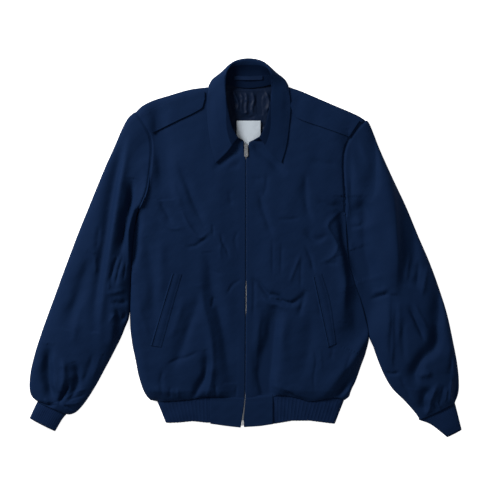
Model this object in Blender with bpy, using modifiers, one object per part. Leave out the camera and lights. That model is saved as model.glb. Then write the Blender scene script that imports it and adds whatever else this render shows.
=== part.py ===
# Jacket lying flat, front up. Sizes below are in millimetres; meshes are made in metres.
# X runs across the shoulders, Y towards the collar, Z up from the surface it lies on.
import math

import bmesh
import bpy
import numpy as np
from mathutils import Vector
from mathutils.bvhtree import BVHTree

MM = 0.001
SEAM = 0.45             # half space kept where two pieces are sewn together
CLOTH = 1.5             # body cloth with its inner layer
EDGE_TOP = 4.2          # top of a front where it comes down on the back's edge
SHOULDER_ROUND = 21.0   # how far the fronts take to round up from a free edge
HEM_ROUND = 17.0        # how far the cloth takes to tuck down to the waistband
WAIST_TOP = 11.5        # height of the front waistband at its seam
CENTRE_FLAT = 16.0      # width kept plain beside the zip, for its tape
RIB_RAISE = 0.55        # height of a knit rib over its valley
COLLAR_X = 1.05         # the collar's middle
COLLAR_WALL = 1.3
ROWS_SIDE = 19
ROWS_ARM = 12
COLS = 20

# outlines of the fronts, (x, y)
SIDE_RIGHT = [(-191, -319), (-204, -313), (-216, -296), (-229, -265), (-237, -231), (-244, -197),
              (-248, -158), (-248, -105), (-246, -42), (-243, 10), (-238, 48), (-233, 78)]
SIDE_LEFT = [(202, -317), (212, -309), (217, -296), (227, -275), (238, -244), (248, -216), (255, -181),
             (248, -147), (237, -105), (227, -74), (214, -32), (208, 21), (206, 74)]
ARM_RIGHT = [(-233, 78), (-222, 99), (-212, 126), (-207, 158), (-204, 189), (-203, 216), (-207, 242),
             (-221, 268), (-237, 290)]
ARM_LEFT = [(206, 74), (204, 109), (202, 147), (201, 185), (204, 211), (213, 232), (226, 250), (248, 272)]
SHOULDER_RIGHT = [(-237, 290), (-223, 303), (-202, 314), (-164, 326), (-122, 338), (-84, 343)]
SHOULDER_LEFT = [(248, 272), (235, 281), (214, 291), (176, 307), (139, 323), (108, 336), (86, 343)]
NECK_RIGHT = [(-84, 343), (-75.5, 327), (-69.5, 299.5), (-58, 267), (-38, 243), (-21, 233.5), (-9.4, 225)]
NECK_LEFT = [(86, 343), (77.5, 327), (71.5, 299.5), (60, 267), (39, 241.5), (20, 229.4), (1.4, 224)]
WAIST_RIGHT = [(-191, -319), (-164, -318), (-122, -315), (-90, -310), (-38, -311), (-8, -313)]
WAIST_LEFT = [(202, -317), (187, -311), (162, -314), (130, -319), (109, -313), (78, -307), (50, -308),
              (-4, -313)]
BACK_NECK = [(-84, 343), (-74, 339), (-55, 347.6), (-28, 343), (1, 340.2), (30, 343), (57, 347.6),
             (76, 339), (86, 343)]

# the zip's middle line and half the opening between the front edges: y, x, half
CENTRE = [(-373, -12, 4.6), (-357, -11, 2.6), (-336, -8.4, 2.0), (-313, -6, 1.8), (-290, -5.6, 0.9),
          (-140, -4.6, 0.8), (-128, -4, 1.5), (-72, -3.6, 1.5), (-58, -4, 0.7), (190, -4, 0.7),
          (201, -4, 4.4), (226, -4, 4.4)]

# height of the fronts' top along Y: y, at the zip, in the panel
HEIGHT = [(-373, 10, 10), (-319, 11.5, 14), (-296, 13, 21), (-240, 14, 22), (-170, 14.5, 20),
          (-80, 14.5, 18.5), (40, 14.5, 17), (160, 14, 16), (260, 13.5, 14), (350, 12, 11.5)]

# folds: points along the line, rise (less than nothing for a hollow), half width
FOLDS = [
    ([(-101, -15), (-95, -105), (-84, -174), (-74, -246), (-74, -294)], -7.0, 11),
    ([(-66, -90), (-54, -180), (-50, -273)], 3.5, 15),
    ([(-175, -230), (-160, -270), (-130, -285)], 6.0, 26),
    ([(-118, -305), (-101, -258), (-97, -231)], -7.0, 9),
    ([(-210, -180), (-190, -235), (-165, -290)], -3.0, 11),
    ([(36, -189), (25, -216), (22, -267), (32, -300)], -7.5, 9),
    ([(55, -200), (58, -250), (62, -290)], 5.0, 14),
    ([(172, -300), (208, -258), (242, -216)], -9.0, 11),
    ([(100, -245), (165, -212), (222, -147)], 6.0, 19),
    ([(80, -290), (130, -302), (150, -296)], 7.0, 13),
    ([(22, -99), (53, -106), (95, -111)], -4.5, 9),
    ([(35, -125), (85, -135)], 3.0, 10),
    ([(-158, 153), (-128, 90), (-80, 36)], -2.5, 12),
    ([(53, 57), (110, 50), (178, 69)], 2.5, 15),
    ([(202, 78), (210, 11), (216, -60), (226, -137)], -10.0, 11),
    ([(-255, 216), (-279, 105), (-297, 42), (-311, -36), (-317, -105), (-317, -231)], 5.0, 12),
    ([(-401, -270), (-391, -311)], -6.0, 7),
    ([(-363, -252), (-374, -305)], -4.5, 7),
    ([(-428, -252), (-420, -300)], -4.0, 7),
    ([(260, 225), (281, 90), (284, 0), (294, -69), (294, -141), (288, -204)], 5.0, 12),
    ([(246, -99), (294, -90)], -6.0, 9),
    ([(334, -120), (368, -195)], -5.0, 10),
    ([(397, -153), (403, -246), (410, -300)], 4.5, 11),
    ([(418, -270), (422, -312)], -6.0, 7),
    ([(330, -230), (375, -300)], -3.5, 9),
]

# sleeve stations after the armhole: outer x, y, inner x, y, height of the dome, bow of the ring
SLEEVE_RIGHT = [
    (-251, 277, -234.6, 77.0, 13, 26), (-264, 253, -236.0, 72, 14, 17), (-279, 218, -237.8, 62, 15, 10),
    (-297, 178, -239.8, 49, 17, 5), (-315, 135, -241.9, 33, 18, 2), (-334, 88, -244.3, 10, 19, 0),
    (-352, 44, -246.3, -22, 20, 0), (-370, -3, -248.2, -62, 20, 0), (-388, -51, -249.6, -104, 20, 0),
    (-404, -95, -252, -140, 20, 0), (-418, -133, -264, -177, 20, 0), (-432, -172, -282, -214, 20, 0),
    (-445, -212, -302, -249, 20, 0), (-453, -247, -322, -283, 19, 0), (-456, -275, -344, -316, 18, 0),
    (-454, -295, -364, -336, 16, 0), (-449, -310, -376, -343, 14, 0), (-443, -318.5, -382.5, -345.5, 12, 0)]
SLEEVE_LEFT = [
    (254, 262, 207.4, 68, 13, 17), (263, 240, 208.0, 50, 14, 14), (273, 214, 209.2, 26, 16, 11),
    (286, 184, 211.8, -5, 18, 8), (300, 153, 216.6, -33, 20, 6), (329, 92, 229.4, -76, 21, 3),
    (356, 27, 242, -117, 20, 1), (380, -29, 251.2, -152, 19, 0), (400, -84, 258.2, -183, 20, 0),
    (416, -136, 269, -220, 20, 0), (428, -191, 286, -262, 20, 0), (437, -237, 304, -292, 19, 0),
    (441, -275, 330, -318, 18, 0), (440, -304, 352, -343, 15, 0), (435.5, -322, 361.5, -357, 12, 0)]

# cuff stations: outer x, y, inner x, y, height
CUFF_RIGHT = [(-443.4, -319.4, -382.9, -346.4, 11.5), (-450, -332, -391.5, -357, 12.5),
              (-461, -349, -406, -380, 10.5)]
CUFF_LEFT = [(436.1, -323.5, 362.0, -358.5, 11.5), (441.5, -344, 386, -368, 12.5),
             (447, -376, 416, -391, 10.5)]

# collar from the front edge round to the middle of the neck: fall edge, lower fall, upper fall,
# roll, stand, neck seam, each x from the collar's middle, y, z (z counted from the front under the
# edge and the lower fall while "on" is 1)
COLLAR_COLUMNS = ("on", "edge", "low", "fall", "roll", "stand", "neck")
COLLAR = [
    (1, (-69, 183, 1.3), (-57, 194, 2.0), (-44, 207, 19),
     (-23, 234, 20.5), (-17, 231.5, 17), (-11, 229.8, 13.6)),
    (1, (-79, 218, 1.3), (-70, 226, 3.0), (-57, 238, 19.5),
     (-35, 258, 22), (-36.5, 250, 16.6), (-34, 243.2, 13)),
    (1, (-85, 260, 1.3), (-77, 266, 3.2), (-64, 275, 20),
     (-42, 288, 23.5), (-47, 280, 17.5), (-56, 269.5, 12.8)),
    (1, (-88, 300, 1.3), (-80, 304, 3.2), (-68, 310, 20),
     (-47, 318, 24), (-55, 310, 17.5), (-67, 300.5, 12)),
    (0, (-85, 331, 13.8), (-79, 335, 15.5), (-69, 340, 18),
     (-48, 344, 22), (-59, 337, 14), (-73, 327, 10.5)),
    (0, (-81, 350, 4.5), (-78, 356, 8), (-69, 361, 13),
     (-46, 369, 18), (-59, 355, 10), (-72, 342, 4.4)),
    (0, (-60, 356, 0.7), (-63, 366, 2.0), (-57, 374, 8),
     (-38, 386, 14.5), (-46, 368, 9), (-56, 349, 1.5)),
    (0, (-33, 355, 0.7), (-36, 377, 0.7), (-35, 392, 3.5),
     (-23, 396, 12), (-26, 373, 9), (-29, 344, 1.2)),
    (0, (0, 355, 0.7), (0, 380, 0.7), (0, 399, 3),
     (0, 400, 10.5), (0, 374, 9), (0, 341, 1.1)),
]

# pieces laid on the fronts: one long edge, the other long edge
STRAP_RIGHT = ([(-202, 246), (-151, 270), (-98, 297), (-93, 309), (-91, 317)],
               [(-226, 283), (-167, 311), (-102, 334), (-93, 333), (-91, 329)])
STRAP_LEFT = ([(212, 238), (155, 258), (101, 278), (93, 292), (89, 302)],
              [(234, 271), (172, 299), (110, 322), (99, 316), (90, 309)])
WELT_RIGHT = ([(-157, -49), (-180, -125), (-202, -200)], [(-138, -51), (-160, -128), (-181, -204)])
WELT_LEFT = ([(137, -55), (153, -128), (169, -203)], [(155, -50), (172, -107), (185, -196)])

TAB_RIGHT_HEM = [(-78.5, -365), (-44, -370), (-17, -373)]
TAB_LEFT_HEM = [(-7, -372), (25, -370), (51.5, -366)]
HEM_FRONT = [(-174, -364), (-147, -363), (-116, -360), (-86, -363), (51, -366), (94, -359), (130, -359),
             (162, -363), (184, -366)]
TAB_SEAMS = (-78.0, 51.0)
HEM_BACK_Y = -359.0

LINING = [(-70, 336), (-55, 344), (-28, 341), (1, 338), (30, 341), (57, 344), (72, 336), (84, 300),
          (80, 262), (62, 228), (36, 200), (-34, 200), (-60, 228), (-78, 262), (-82, 300)]
LABEL = (-24.0, 217.0, 26.5, 272.0)
HANGER_LOOP = ([(-29.5, 358), (1, 357), (30.5, 358)], [(-29.5, 366), (1, 365), (30.5, 366)])
LOOP_RISE = 1.2

# slider and tab: the tab's axis lies across the bridge
SLIDER_Y = 215.5
SLIDER_HALF = 3.8
PLATE_ABOVE = 0.5       # top plate over the front edges
BRIDGE_RISE = 3.6
BRIDGE_HALF_LENGTH = 3.4
BRIDGE_HALF_WIDTH = 1.0
BRIDGE_HOLE = (2.2, 2.6)   # half length, height
AXIS_BACK = 0.9
AXIS_UP = 1.25
TAB_LENGTH = 19.0
TAB_THICK = 1.2
TAB_EYE = 4.6           # from the tab's end to the small hole in it


def clear_scene():
    for ob in list(bpy.data.objects):
        bpy.data.objects.remove(ob, do_unlink=True)


def spline(points, fractions):
    """Catmull-Rom curve through the points, read at fractions of its length."""
    p = np.array(points, dtype=float)
    if len(p) == 2:
        f = np.asarray(fractions)[:, None]
        return p[0] * (1 - f) + p[1] * f
    ext = np.vstack([2 * p[0] - p[1], p, 2 * p[-1] - p[-2]])
    dense = []
    for i in range(1, len(ext) - 2):
        a, b, c, d = ext[i - 1], ext[i], ext[i + 1], ext[i + 2]
        k1 = (c - a) * np.linalg.norm(c - b) / (np.linalg.norm(c - b) + np.linalg.norm(b - a))
        k2 = (d - b) * np.linalg.norm(c - b) / (np.linalg.norm(d - c) + np.linalg.norm(c - b))
        for s in np.linspace(0, 1, 13)[:-1]:
            h = (2 * s**3 - 3 * s**2 + 1, s**3 - 2 * s**2 + s, -2 * s**3 + 3 * s**2, s**3 - s**2)
            dense.append(h[0] * b + h[1] * k1 + h[2] * c + h[3] * k2)
    dense.append(p[-1])
    dense = np.array(dense)
    step = np.linalg.norm(np.diff(dense, axis=0), axis=1)
    run = np.concatenate([[0], np.cumsum(step)])
    want = np.asarray(fractions) * run[-1]
    return np.stack([np.interp(want, run, dense[:, k]) for k in range(p.shape[1])], axis=1)


def even(n):
    return np.linspace(0, 1, n + 1)


def eased(n):
    return (1 - np.cos(np.pi * np.arange(n + 1) / n)) / 2


def distance(xy, line):
    """Shortest distance from each point to a line of points."""
    a = np.asarray(line, dtype=float)
    best = np.full(len(xy), 1e9)
    for p, q in zip(a[:-1], a[1:]):
        d = q - p
        t = np.clip(((xy - p) @ d) / max(float(d @ d), 1e-9), 0, 1)
        best = np.minimum(best, np.linalg.norm(xy - p - t[:, None] * d, axis=1))
    return best


def rounding(d, radius):
    t = np.clip(d / radius, 0, 1)
    return np.sqrt(1 - (1 - t) ** 2)


def column(table, y, k):
    rows = np.array(table, dtype=float)
    return np.interp(y, rows[:, 0], rows[:, k])


def centre_x(y):
    return column(CENTRE, y, 1)


def centre_half(y):
    return column(CENTRE, y, 2)


def folds(xy):
    total = np.zeros(len(xy))
    for line, rise, width in FOLDS:
        total += rise * np.exp(-(distance(xy, spline(line, even(12))) / width) ** 2)
    return total


def front_top(xy, side, shoulder, waist):
    """Height of a front's top face at each point."""
    x, y = xy[:, 0], xy[:, 1]
    from_zip = np.abs(x - centre_x(y))
    blend = np.clip((from_zip - CENTRE_FLAT) / 42.0, 0, 1)
    blend = blend * blend * (3 - 2 * blend)
    level = column(HEIGHT, y, 1) * (1 - blend) + (column(HEIGHT, y, 2) + folds(xy)) * blend
    level = np.maximum(level, 7.0)
    tuck = rounding(distance(xy, waist), HEM_ROUND)
    level = WAIST_TOP + (level - WAIST_TOP) * tuck
    lift = rounding(np.minimum(distance(xy, side), distance(xy, shoulder)), SHOULDER_ROUND)
    return EDGE_TOP + (level - EDGE_TOP) * lift


def make_material(name, rgb, roughness, metallic=0.0):
    mat = bpy.data.materials.new(name)
    mat.use_nodes = True
    shader = mat.node_tree.nodes["Principled BSDF"]
    shader.inputs["Base Color"].default_value = (*rgb, 1.0)
    shader.inputs["Roughness"].default_value = roughness
    shader.inputs["Metallic"].default_value = metallic
    mat.diffuse_color = (*rgb, 1.0)
    return mat


def place(name, mesh, material, collection):
    ob = bpy.data.objects.new(name, mesh)
    collection.objects.link(ob)
    mesh.materials.append(material)
    return ob


def thicken(ob, thickness, offset):
    """Give a sheet its wall and keep the result as the object's own mesh."""
    mod = ob.modifiers.new("wall", "SOLIDIFY")
    mod.thickness = thickness * MM
    mod.offset = offset
    mod.use_rim = True
    graph = bpy.context.evaluated_depsgraph_get()
    mesh = bpy.data.meshes.new_from_object(ob.evaluated_get(graph))
    ob.modifiers.clear()
    old = ob.data
    ob.data = mesh
    mesh.name = ob.name
    bpy.data.meshes.remove(old)
    return ob


def sheet(name, grid, thickness, offset, material, collection, ring=False, raise_by=None):
    """A cloth wall over a grid of points; rows by columns, closed round when ring is set.

    The second column or the third is on the upper side, which sets the way out. raise_by
    lifts the outer points of each column, for the ribs of a knit."""
    k = min(3, grid.shape[1] - 1)
    across = grid[:, k] - grid[:, k - 1]
    along = np.gradient(grid[:, k], axis=0)
    if np.cross(across, along)[:, 2].sum() < 0:
        grid = grid[::-1]
    rows, cols = grid.shape[:2]
    bm = bmesh.new()
    verts = [[bm.verts.new(Vector(grid[i, j]) * MM) for j in range(cols)] for i in range(rows)]
    last = cols if ring else cols - 1
    for i in range(rows - 1):
        for j in range(last):
            k = (j + 1) % cols
            bm.faces.new((verts[i][j], verts[i][k], verts[i + 1][k], verts[i + 1][j]))
    mesh = bpy.data.meshes.new(name)
    bm.to_mesh(mesh)
    bm.free()
    ob = place(name, mesh, material, collection)
    thicken(ob, thickness, offset)
    if raise_by is not None:
        normals = [ob.data.vertices[i].normal.copy() for i in range(rows * cols)]
        for i in range(rows):
            for j in range(cols):
                v = ob.data.vertices[i * cols + j]
                v.co += normals[i * cols + j] * (raise_by[j] * MM)
    return ob


def slab(name, outline, low, high, material, collection):
    """A flat piece: an outline drawn as a filled 2D curve and given its thickness."""
    curve = bpy.data.curves.new(name + "_outline", "CURVE")
    curve.dimensions = "2D"
    curve.fill_mode = "BOTH"
    curve.extrude = (high - low) / 2 * MM
    line = curve.splines.new("POLY")
    line.points.add(len(outline) - 1)
    for point, (x, y) in zip(line.points, outline):
        point.co = (x * MM, y * MM, 0, 1)
    line.use_cyclic_u = True
    drawn = bpy.data.objects.new(name + "_outline", curve)
    collection.objects.link(drawn)
    graph = bpy.context.evaluated_depsgraph_get()
    mesh = bpy.data.meshes.new_from_object(drawn.evaluated_get(graph))
    mesh.name = name
    bpy.data.objects.remove(drawn, do_unlink=True)
    bpy.data.curves.remove(curve)
    bm = bmesh.new()
    bm.from_mesh(mesh)
    bmesh.ops.remove_doubles(bm, verts=bm.verts, dist=0.00001)
    bmesh.ops.recalc_face_normals(bm, faces=bm.faces)
    bmesh.ops.translate(bm, verts=bm.verts, vec=(0, 0, (low + high) / 2 * MM))
    bm.to_mesh(mesh)
    bm.free()
    mesh.materials.clear()
    return place(name, mesh, material, collection)


def block(name, low, high, material, collection):
    """A box between two corners."""
    bm = bmesh.new()
    bmesh.ops.create_cube(bm, size=1.0)
    size = (Vector(high) - Vector(low)) * MM
    bmesh.ops.scale(bm, verts=bm.verts, vec=size)
    bmesh.ops.translate(bm, verts=bm.verts, vec=(Vector(high) + Vector(low)) * 0.5 * MM)
    mesh = bpy.data.meshes.new(name)
    bm.to_mesh(mesh)
    bm.free()
    return place(name, mesh, material, collection)


def rod(name, x, y, radius, height, material, collection):
    """An upright cylinder centred on z = 0."""
    bm = bmesh.new()
    r = radius * MM
    bmesh.ops.create_cone(bm, cap_ends=True, segments=16, radius1=r, radius2=r, depth=height * MM)
    bmesh.ops.translate(bm, verts=bm.verts, vec=(x * MM, y * MM, 0))
    mesh = bpy.data.meshes.new(name)
    bm.to_mesh(mesh)
    bm.free()
    return place(name, mesh, material, collection)


def combine(ob, other, operation):
    """Boolean of two solids, kept as the first one's mesh."""
    mod = ob.modifiers.new("cut", "BOOLEAN")
    mod.operation = operation
    mod.solver = "EXACT"
    mod.object = other
    graph = bpy.context.evaluated_depsgraph_get()
    mesh = bpy.data.meshes.new_from_object(ob.evaluated_get(graph))
    ob.modifiers.clear()
    ob.data = mesh
    mesh.name = ob.name
    bpy.data.objects.remove(other, do_unlink=True)


def patch(left, right, bottom, top):
    """Points inside four edges that share their corners."""
    b = (right[:, 1] - right[0, 1]) / (right[-1, 1] - right[0, 1])
    a = (bottom[:, 0] - bottom[0, 0]) / (bottom[-1, 0] - bottom[0, 0])
    a, b = a[None, :, None], b[:, None, None]
    sides = (1 - a) * left[:, None] + a * right[:, None]
    ends = (1 - b) * bottom[None] + b * top[None]
    corners = ((1 - a) * (1 - b) * bottom[0] + a * (1 - b) * bottom[-1]
               + (1 - a) * b * top[0] + a * b * top[-1])
    return sides + ends - corners


def front_grid(side, arm, shoulder, neck, waist, sign):
    """Points of a front: side and armhole on one edge, zip and neckline on the other."""
    f = eased(ROWS_ARM)
    left = np.vstack([spline(side, even(ROWS_SIDE)), spline(arm, f)[1:]])
    top = spline(shoulder, even(COLS))
    bottom = spline(waist, even(COLS))
    half = ROWS_ARM // 2
    y_low = np.linspace(bottom[-1, 1], 70, ROWS_SIDE + 1)
    y = np.concatenate([y_low, 70 + (neck[-1][1] - 70) * 2 * f[1:half + 1]])
    zip_edge = np.stack([centre_x(y) + sign * centre_half(y), y], axis=1)
    zip_edge[-1] = neck[-1]
    right = np.vstack([zip_edge, spline(neck[::-1], 2 * f[half + 1:] - 1)])
    bottom[0], bottom[-1] = left[0], right[0]
    top[0], top[-1] = left[-1], right[-1]
    grid = patch(left, right, bottom, top)
    flat = grid.reshape(-1, 2)
    z = front_top(flat, spline(side, even(40)), spline(shoulder, even(24)), spline(waist, even(30)))
    return np.concatenate([flat, z[:, None]], axis=1).reshape(*grid.shape[:2], 3), left


def ring_points(top, bottom_z, edge_z):
    """Close a line of top points with a flat row under it."""
    under = top[-2:0:-1].copy()
    under[:, 2] = bottom_z
    ring = np.vstack([top, under])
    ring[0, 2] = edge_z
    ring[len(top) - 1, 2] = edge_z
    return ring


def sleeve_grid(arm_line, sign, stations, arm_top):
    """Rings from the armhole down to the cuff; the first follows the armhole."""
    f = eased(ROWS_ARM)
    arm = arm_line[::-1]
    chord = arm[-1] - arm[0]
    base = arm[0] + f[:, None] * chord
    shape = arm - base
    depth = np.max(np.linalg.norm(shape, axis=1))
    tangent = np.gradient(arm, axis=0)
    normal = np.stack([-tangent[:, 1], tangent[:, 0]], axis=1)
    normal /= np.linalg.norm(normal, axis=1)[:, None]
    if normal[len(normal) // 2, 0] * sign < 0:
        normal = -normal
    first = arm + normal * SEAM
    rings = [ring_points(np.column_stack([first, arm_top[::-1]]), 0.0, 1.7)]
    phi = np.pi * np.arange(ROWS_ARM + 1) / ROWS_ARM
    for k, (ox, oy, ix, iy, height, bow) in enumerate(stations):
        line = np.array([ox, oy]) + f[:, None] * (np.array([ix, iy]) - np.array([ox, oy]))
        line = line + shape * (bow / depth)
        part = min(1.0, (k + 1) / 5.0)
        dome = 3.2 + height * np.sin(phi) ** 0.72
        z = arm_top[::-1] * (1 - part) + dome * part
        fade = np.sin(phi) ** 0.8 * (0.0 if k >= len(stations) - 1 else 1.0)
        z = np.maximum(z + folds(line) * fade, 3.2 + 0.35 * (z - 3.2))
        rings.append(ring_points(np.column_stack([line, z]), 0.0, 1.7 + 1.1 * part))
    return np.array(rings)


def cuff_grid(stations):
    """Three rings of a knit cuff, two columns to a rib along the top."""
    n = 30
    f = even(n)
    f[1], f[-2] = 0.02, 0.98
    keep = [0, 1, 2, 8, 15, 22, 28, 29, 30]
    rings = []
    for ox, oy, ix, iy, height in stations:
        line = np.array([ox, oy]) + f[:, None] * (np.array([ix, iy]) - np.array([ox, oy]))
        z = 3.0 + (height - 3.0) * (4 * f * (1 - f)) ** 0.42
        top = np.column_stack([line, z])
        under = top[keep][-2:0:-1].copy()
        under[:, 2] = 0.0
        rings.append(np.vstack([top, under]))
    raise_by = [RIB_RAISE * (j % 2) if 2 <= j <= n - 2 else 0.0 for j in range(len(rings[0]))]
    return np.array(rings), raise_by


def waist_grid():
    """The knit band from one plain end round the back to the other."""
    rows = 4
    pitch = 1.95
    out = []
    raise_by = []
    for i in range(rows):
        v = i / (rows - 1)
        x0 = TAB_SEAMS[0] - SEAM
        x1 = TAB_SEAMS[1] + SEAM
        xr = -191 + v * 17
        xl = 202 - v * 18
        level = 10.8 - 1.6 * v * v
        n_r = int((x0 + 191 - 9) / pitch) // 2 * 2
        n_l = int((202 - 9 - x1) / pitch) // 2 * 2
        fr = np.linspace(x0, xr + 7, n_r + 1)
        fl = np.linspace(xl - 7, x1, n_l + 1)
        line = [(x, 1, level - 2.0 * ((x0 - x) / (x0 - xr)) ** 3) for x in fr]
        top_r = line[-1][2]
        line += [(xr + 2.2, 1, top_r * 0.80), (xr, 0.5, top_r * 0.42), (xr + 2.2, 0, 0.6)]
        line += [(x, 0, 0.0) for x in np.linspace(xr + 6, xl - 6, 9)]
        top_l = level - 2.0
        line += [(xl - 2.2, 0, 0.6), (xl, 0.5, top_l * 0.42), (xl - 2.2, 1, top_l * 0.80)]
        line += [(x, 1, level - 2.0 * ((x - x1) / (xl - x1)) ** 3) for x in fl]
        pts = []
        for x, face, z in line:
            seam = waist_y(x, -1 if x < -6 else 1) if face == 1 else -319 + (x + 191) * 2 / 393
            seam -= 2 * SEAM
            front = np.interp(x, [p[0] for p in HEM_FRONT], [p[1] for p in HEM_FRONT])
            hem = front * face + HEM_BACK_Y * (1 - face)
            if face < 1:
                hem = min(hem, HEM_BACK_Y)
            pts.append((x, seam + v * (hem - seam), z))
        out.append(pts)
        if not raise_by:
            raise_by = [0.0] * len(line)
            for j in range(1, n_r):
                raise_by[j] = RIB_RAISE * (j % 2)
            for j in range(1, n_l):
                raise_by[len(line) - 1 - j] = RIB_RAISE * (j % 2)
    return np.array(out), raise_by


def tab_grid(x_seam, hem, sign):
    """A plain end of the waistband, from its seam with the rib to the zip."""
    rows, cols = 5, 7
    grid = np.zeros((rows, cols, 3))
    for j in range(cols):
        a = j / (cols - 1)
        for i in range(rows):
            b = i / (rows - 1)
            y_zip = -314.2 + b * (hem_end(hem, sign) + 314.2)
            x_zip = centre_x(y_zip) + sign * centre_half(y_zip)
            x = x_seam + a * (x_zip - x_seam)
            y_top = waist_y(x, sign) - 2 * SEAM
            y_low = np.interp(x, [p[0] for p in hem], [p[1] for p in hem])
            y = y_top + b * (y_low - y_top)
            z = 11.0 + (column(HEIGHT, y, 1) - 11.0) * a
            grid[i, j] = (x, y, z)
    return grid


def hem_end(hem, sign):
    return hem[-1][1] if sign < 0 else hem[0][1]


def waist_y(x, sign):
    table = spline(WAIST_RIGHT if sign < 0 else WAIST_LEFT[::-1], even(60))
    return float(np.interp(x, table[:, 0], table[:, 1]))


def collar_grid():
    """Sections across the collar, from one front edge round the neck to the other."""
    table = []
    for mirror, rows in ((1, COLLAR), (-1, COLLAR[-2::-1])):
        for on, *points in rows:
            section = []
            for name, (x, y, z) in zip(COLLAR_COLUMNS[1:], points):
                if on and name in ("edge", "low"):
                    z = z + front_height(mirror * x + COLLAR_X, y)
                section.append((mirror * x, y, z))
            table.append(section)
    table = np.array(table)
    stations = 40
    columns = []
    for c in range(table.shape[1]):
        columns.append(np.stack([resample(table[:, c, k], stations) for k in range(3)], axis=1))
    columns = np.array(columns)
    grid = []
    for i in range(stations + 1):
        section = spline(columns[:, i], even(13))
        section[:, 2] = np.maximum(section[:, 2], COLLAR_WALL / 2)
        section[:, 0] += COLLAR_X
        grid.append(section)
    return np.array(grid)


def resample(values, n):
    """Smooth curve through evenly spaced values, read at n + 1 places."""
    want = np.linspace(0, len(values) - 1, n + 1)
    out = []
    for w in want:
        i = min(int(w), len(values) - 2)
        s = w - i
        a = values[i - 1] if i > 0 else 2 * values[0] - values[1]
        b, c = values[i], values[i + 1]
        d = values[i + 2] if i + 2 < len(values) else 2 * c - b
        k1, k2 = (c - a) / 2, (d - b) / 2
        out.append((2 * s**3 - 3 * s**2 + 1) * b + (s**3 - 2 * s**2 + s) * k1
                   + (-2 * s**3 + 3 * s**2) * c + (s**3 - s**2) * k2)
    return np.array(out)


def front_height(x, y):
    """Top of the fronts under a point, from the sizes."""
    right = x < centre_x(y)
    side = spline(SIDE_RIGHT if right else SIDE_LEFT, even(40))
    shoulder = spline(SHOULDER_RIGHT if right else SHOULDER_LEFT, even(24))
    waist = spline(WAIST_RIGHT if right else WAIST_LEFT, even(30))
    point = np.array([[x, y]], dtype=float)
    return float(front_top(point, side, shoulder, waist)[0])


def laid_grid(edges, base, lift, rows, cols, reach):
    """Points between two edges, dropped onto a piece and lifted off it."""
    corners = [p.vertices for p in base.data.polygons]
    tree = BVHTree.FromPolygons([v.co for v in base.data.vertices], corners)
    a, b = spline(edges[0], even(cols)), spline(edges[1], even(cols))
    grid = np.zeros((rows + 1, cols + 1, 3))
    for i in range(rows + 1):
        t = i / rows
        for j in range(cols + 1):
            x, y = a[j] * (1 - t) + b[j] * t
            best = -1.0
            for dx in np.linspace(-reach, reach, 5):
                for dy in np.linspace(-reach, reach, 5):
                    hit = tree.ray_cast(Vector((x + dx, y + dy, 200)) * MM, Vector((0, 0, -1)))
                    if hit[0] is not None:
                        best = max(best, hit[0].z / MM)
            grid[i, j] = (x, y, best + lift)
    return grid


def zip_strip(x_in, x_out, y_low, y_high, drop, n):
    """Top points of a strip along the zip, under the front edges."""
    grid = np.zeros((n + 1, 2, 3))
    for i in range(n + 1):
        y = y_low + (y_high - y_low) * i / n
        z = column(HEIGHT, y, 1) - drop
        grid[i, 0] = (centre_x(y) + x_in, y, z)
        grid[i, 1] = (centre_x(y) + x_out, y, z)
    return grid


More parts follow.
